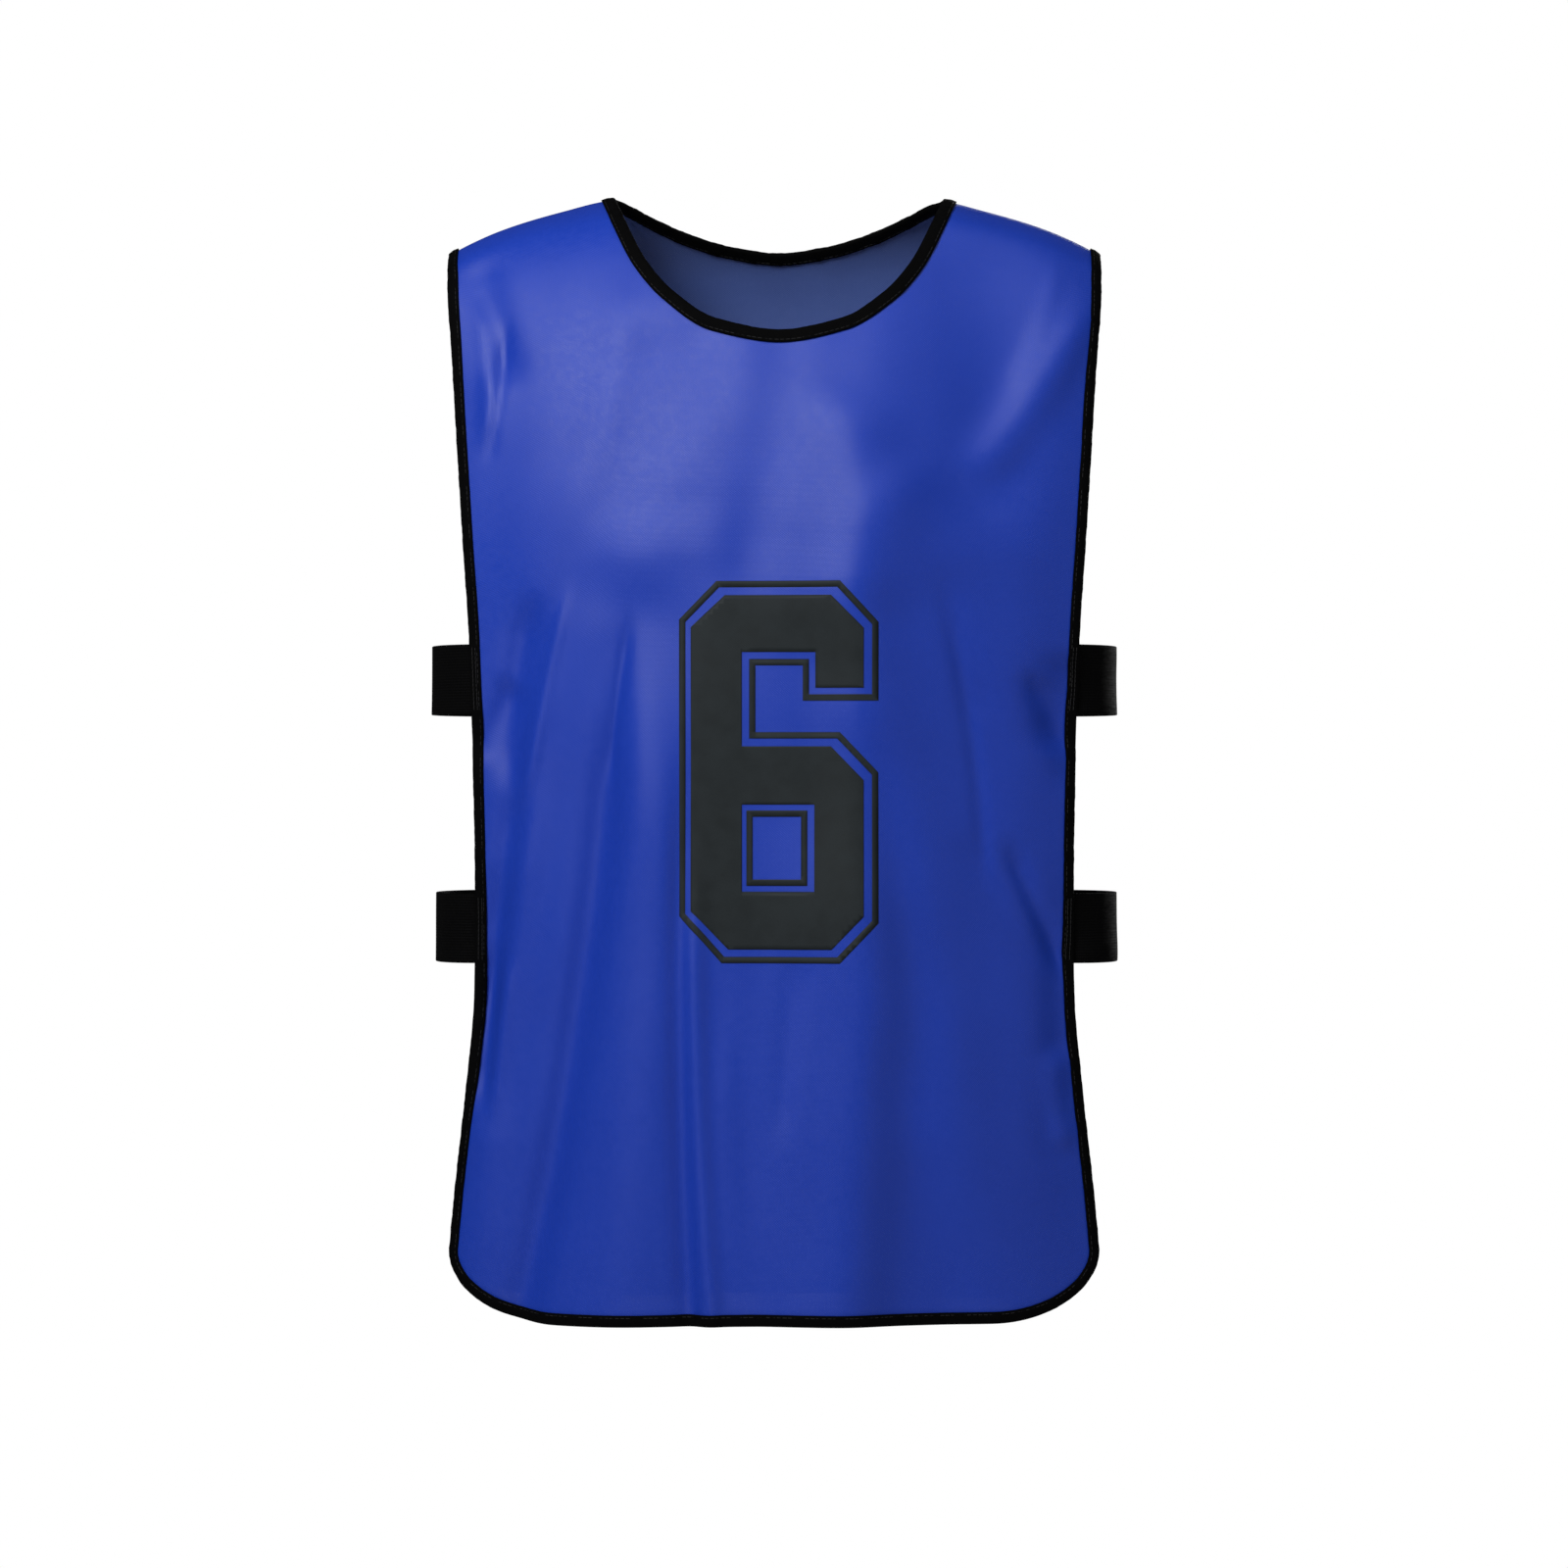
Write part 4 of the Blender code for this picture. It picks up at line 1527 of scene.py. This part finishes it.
@dataclass(frozen=True)
class Bib:
    """The whole garment."""

    panels: tuple[ClothPanel, ...] = (
        ClothPanel("front_panel", FRONT, (0.40, 0.70), 0.243),
        ClothPanel("back_panel", BACK, (0.40, 0.70), 0.25),
    )
    bindings: tuple[Binding, ...] = (
        Binding("neck_trim", "neck_binding", NECK_LOOP, 8.2, (0.018, 0.62)),
        Binding("edge_trim", "edge_binding", OUTER_LOOP, 7.0, (0.016, 3.3)),
    )
    straps: tuple[SideStrap, ...] = (
        SideStrap("strap_upper_left", 262.0, -1, 200.0, (0.04, 0.15)),
        SideStrap("strap_upper_right", 262.0, 1, 200.0, (0.04, 0.15)),
        SideStrap("strap_lower_left", 405.0, -1, 197.5, (0.04, 0.15)),
        SideStrap("strap_lower_right", 405.0, 1, 200.0, (0.04, 0.15)),
    )
    seams: ShoulderSeams = field(default_factory=ShoulderSeams)
    numeral: Numeral = field(default_factory=Numeral)

    def build(self) -> None:
        """Makes every piece, in the order of sewing."""
        self.seams.build()
        for panel in self.panels:
            panel.build()
        self.numeral.build()
        for part in (*self.bindings, *self.straps):
            part.build()
            part.build_stitches()


@dataclass(frozen=True)
class Softbox:
    """A square area lamp, with its place and aim in metres."""

    name: str
    place: tuple[float, float, float]
    aim: tuple[float, float, float]
    size: float
    watts: float

    def build(self) -> None:
        """Hangs the lamp."""
        lamp = bpy.data.lights.new(self.name, "AREA")
        lamp.size = self.size
        lamp.energy = self.watts
        holder = add_object(self.name, lamp)
        holder.location = self.place
        way = Vector(self.aim) - Vector(self.place)
        holder.rotation_euler = way.to_track_quat("-Z", "Y").to_euler()


@dataclass(frozen=True)
class Studio:
    """A pale floor, soft lamps, white surroundings and the camera in front."""

    camera_place: tuple[float, float, float] = (0.00557, -3.0, -0.3421)
    lens: float = 117.6
    floor_height: float = -1.4
    floor_side: float = 6.0
    surround: float = 0.06
    lamps: tuple[Softbox, ...] = (
        Softbox("key", (-0.896, -1.637, 0.866), (0.0, 0.0, -0.3), 0.8, 48.0),
        Softbox("side", (2.06, -1.6, -0.21), (0.0, 0.0, -0.3), 1.0, 5.0),
        Softbox("top", (0.692, -1.303, 1.591), (0.0, 0.0, -0.3), 1.2, 12.0),
        Softbox("back", (0.8, 2.1, 0.05), (0.0, 0.0, -0.3), 1.4, 26.0),
    )

    def build(self) -> None:
        """Sets up floor, lamps, surroundings and camera."""
        self.lay_floor()
        self.light_surroundings()
        for lamp in self.lamps:
            lamp.build()
        data = bpy.data.cameras.new("front_camera")
        data.lens = self.lens
        data.sensor_width = 36
        camera = add_object("front_camera", data)
        camera.location = self.camera_place
        camera.rotation_euler = (math.pi / 2, 0, 0)
        bpy.context.scene.camera = camera
        bpy.context.scene.view_settings.view_transform = "Standard"

    def lay_floor(self) -> None:
        """Makes the pale floor."""
        mesh = bmesh.new()
        bmesh.ops.create_grid(mesh, x_segments=4, y_segments=4, size=self.floor_side / 2)
        bmesh.ops.translate(mesh, verts=mesh.verts, vec=(0, 0, self.floor_height))
        recipe = Recipe("pale_floor")
        shade = recipe.blend(recipe.noise(0.15), (0.74, 0.74, 0.75), (0.80, 0.80, 0.80))
        add_mesh("floor", mesh, recipe.dress(Base_Color=shade, Roughness=0.8))

    def light_surroundings(self) -> None:
        """Makes the surroundings white to look at and dimmer as light."""
        world = bpy.data.worlds.new("surroundings")
        world.use_nodes = True
        bpy.context.scene.world = world
        tree = world.node_tree
        shade = tree.nodes["Background"]
        seen = tree.nodes.new("ShaderNodeLightPath")
        level = tree.nodes.new("ShaderNodeMapRange")
        level.inputs["To Min"].default_value = self.surround
        level.inputs["To Max"].default_value = 1.0
        shade.inputs["Color"].default_value = (1, 1, 1, 1)
        tree.links.new(seen.outputs["Is Camera Ray"], level.inputs["Value"])
        tree.links.new(level.outputs["Result"], shade.inputs["Strength"])


def main() -> None:
    """Builds the bib and the studio."""
    logging.basicConfig(level=logging.INFO, format="%(message)s")
    Bib().build()
    Studio().build()
    bpy.context.view_layer.update()


if __name__ == "__main__":
    main()
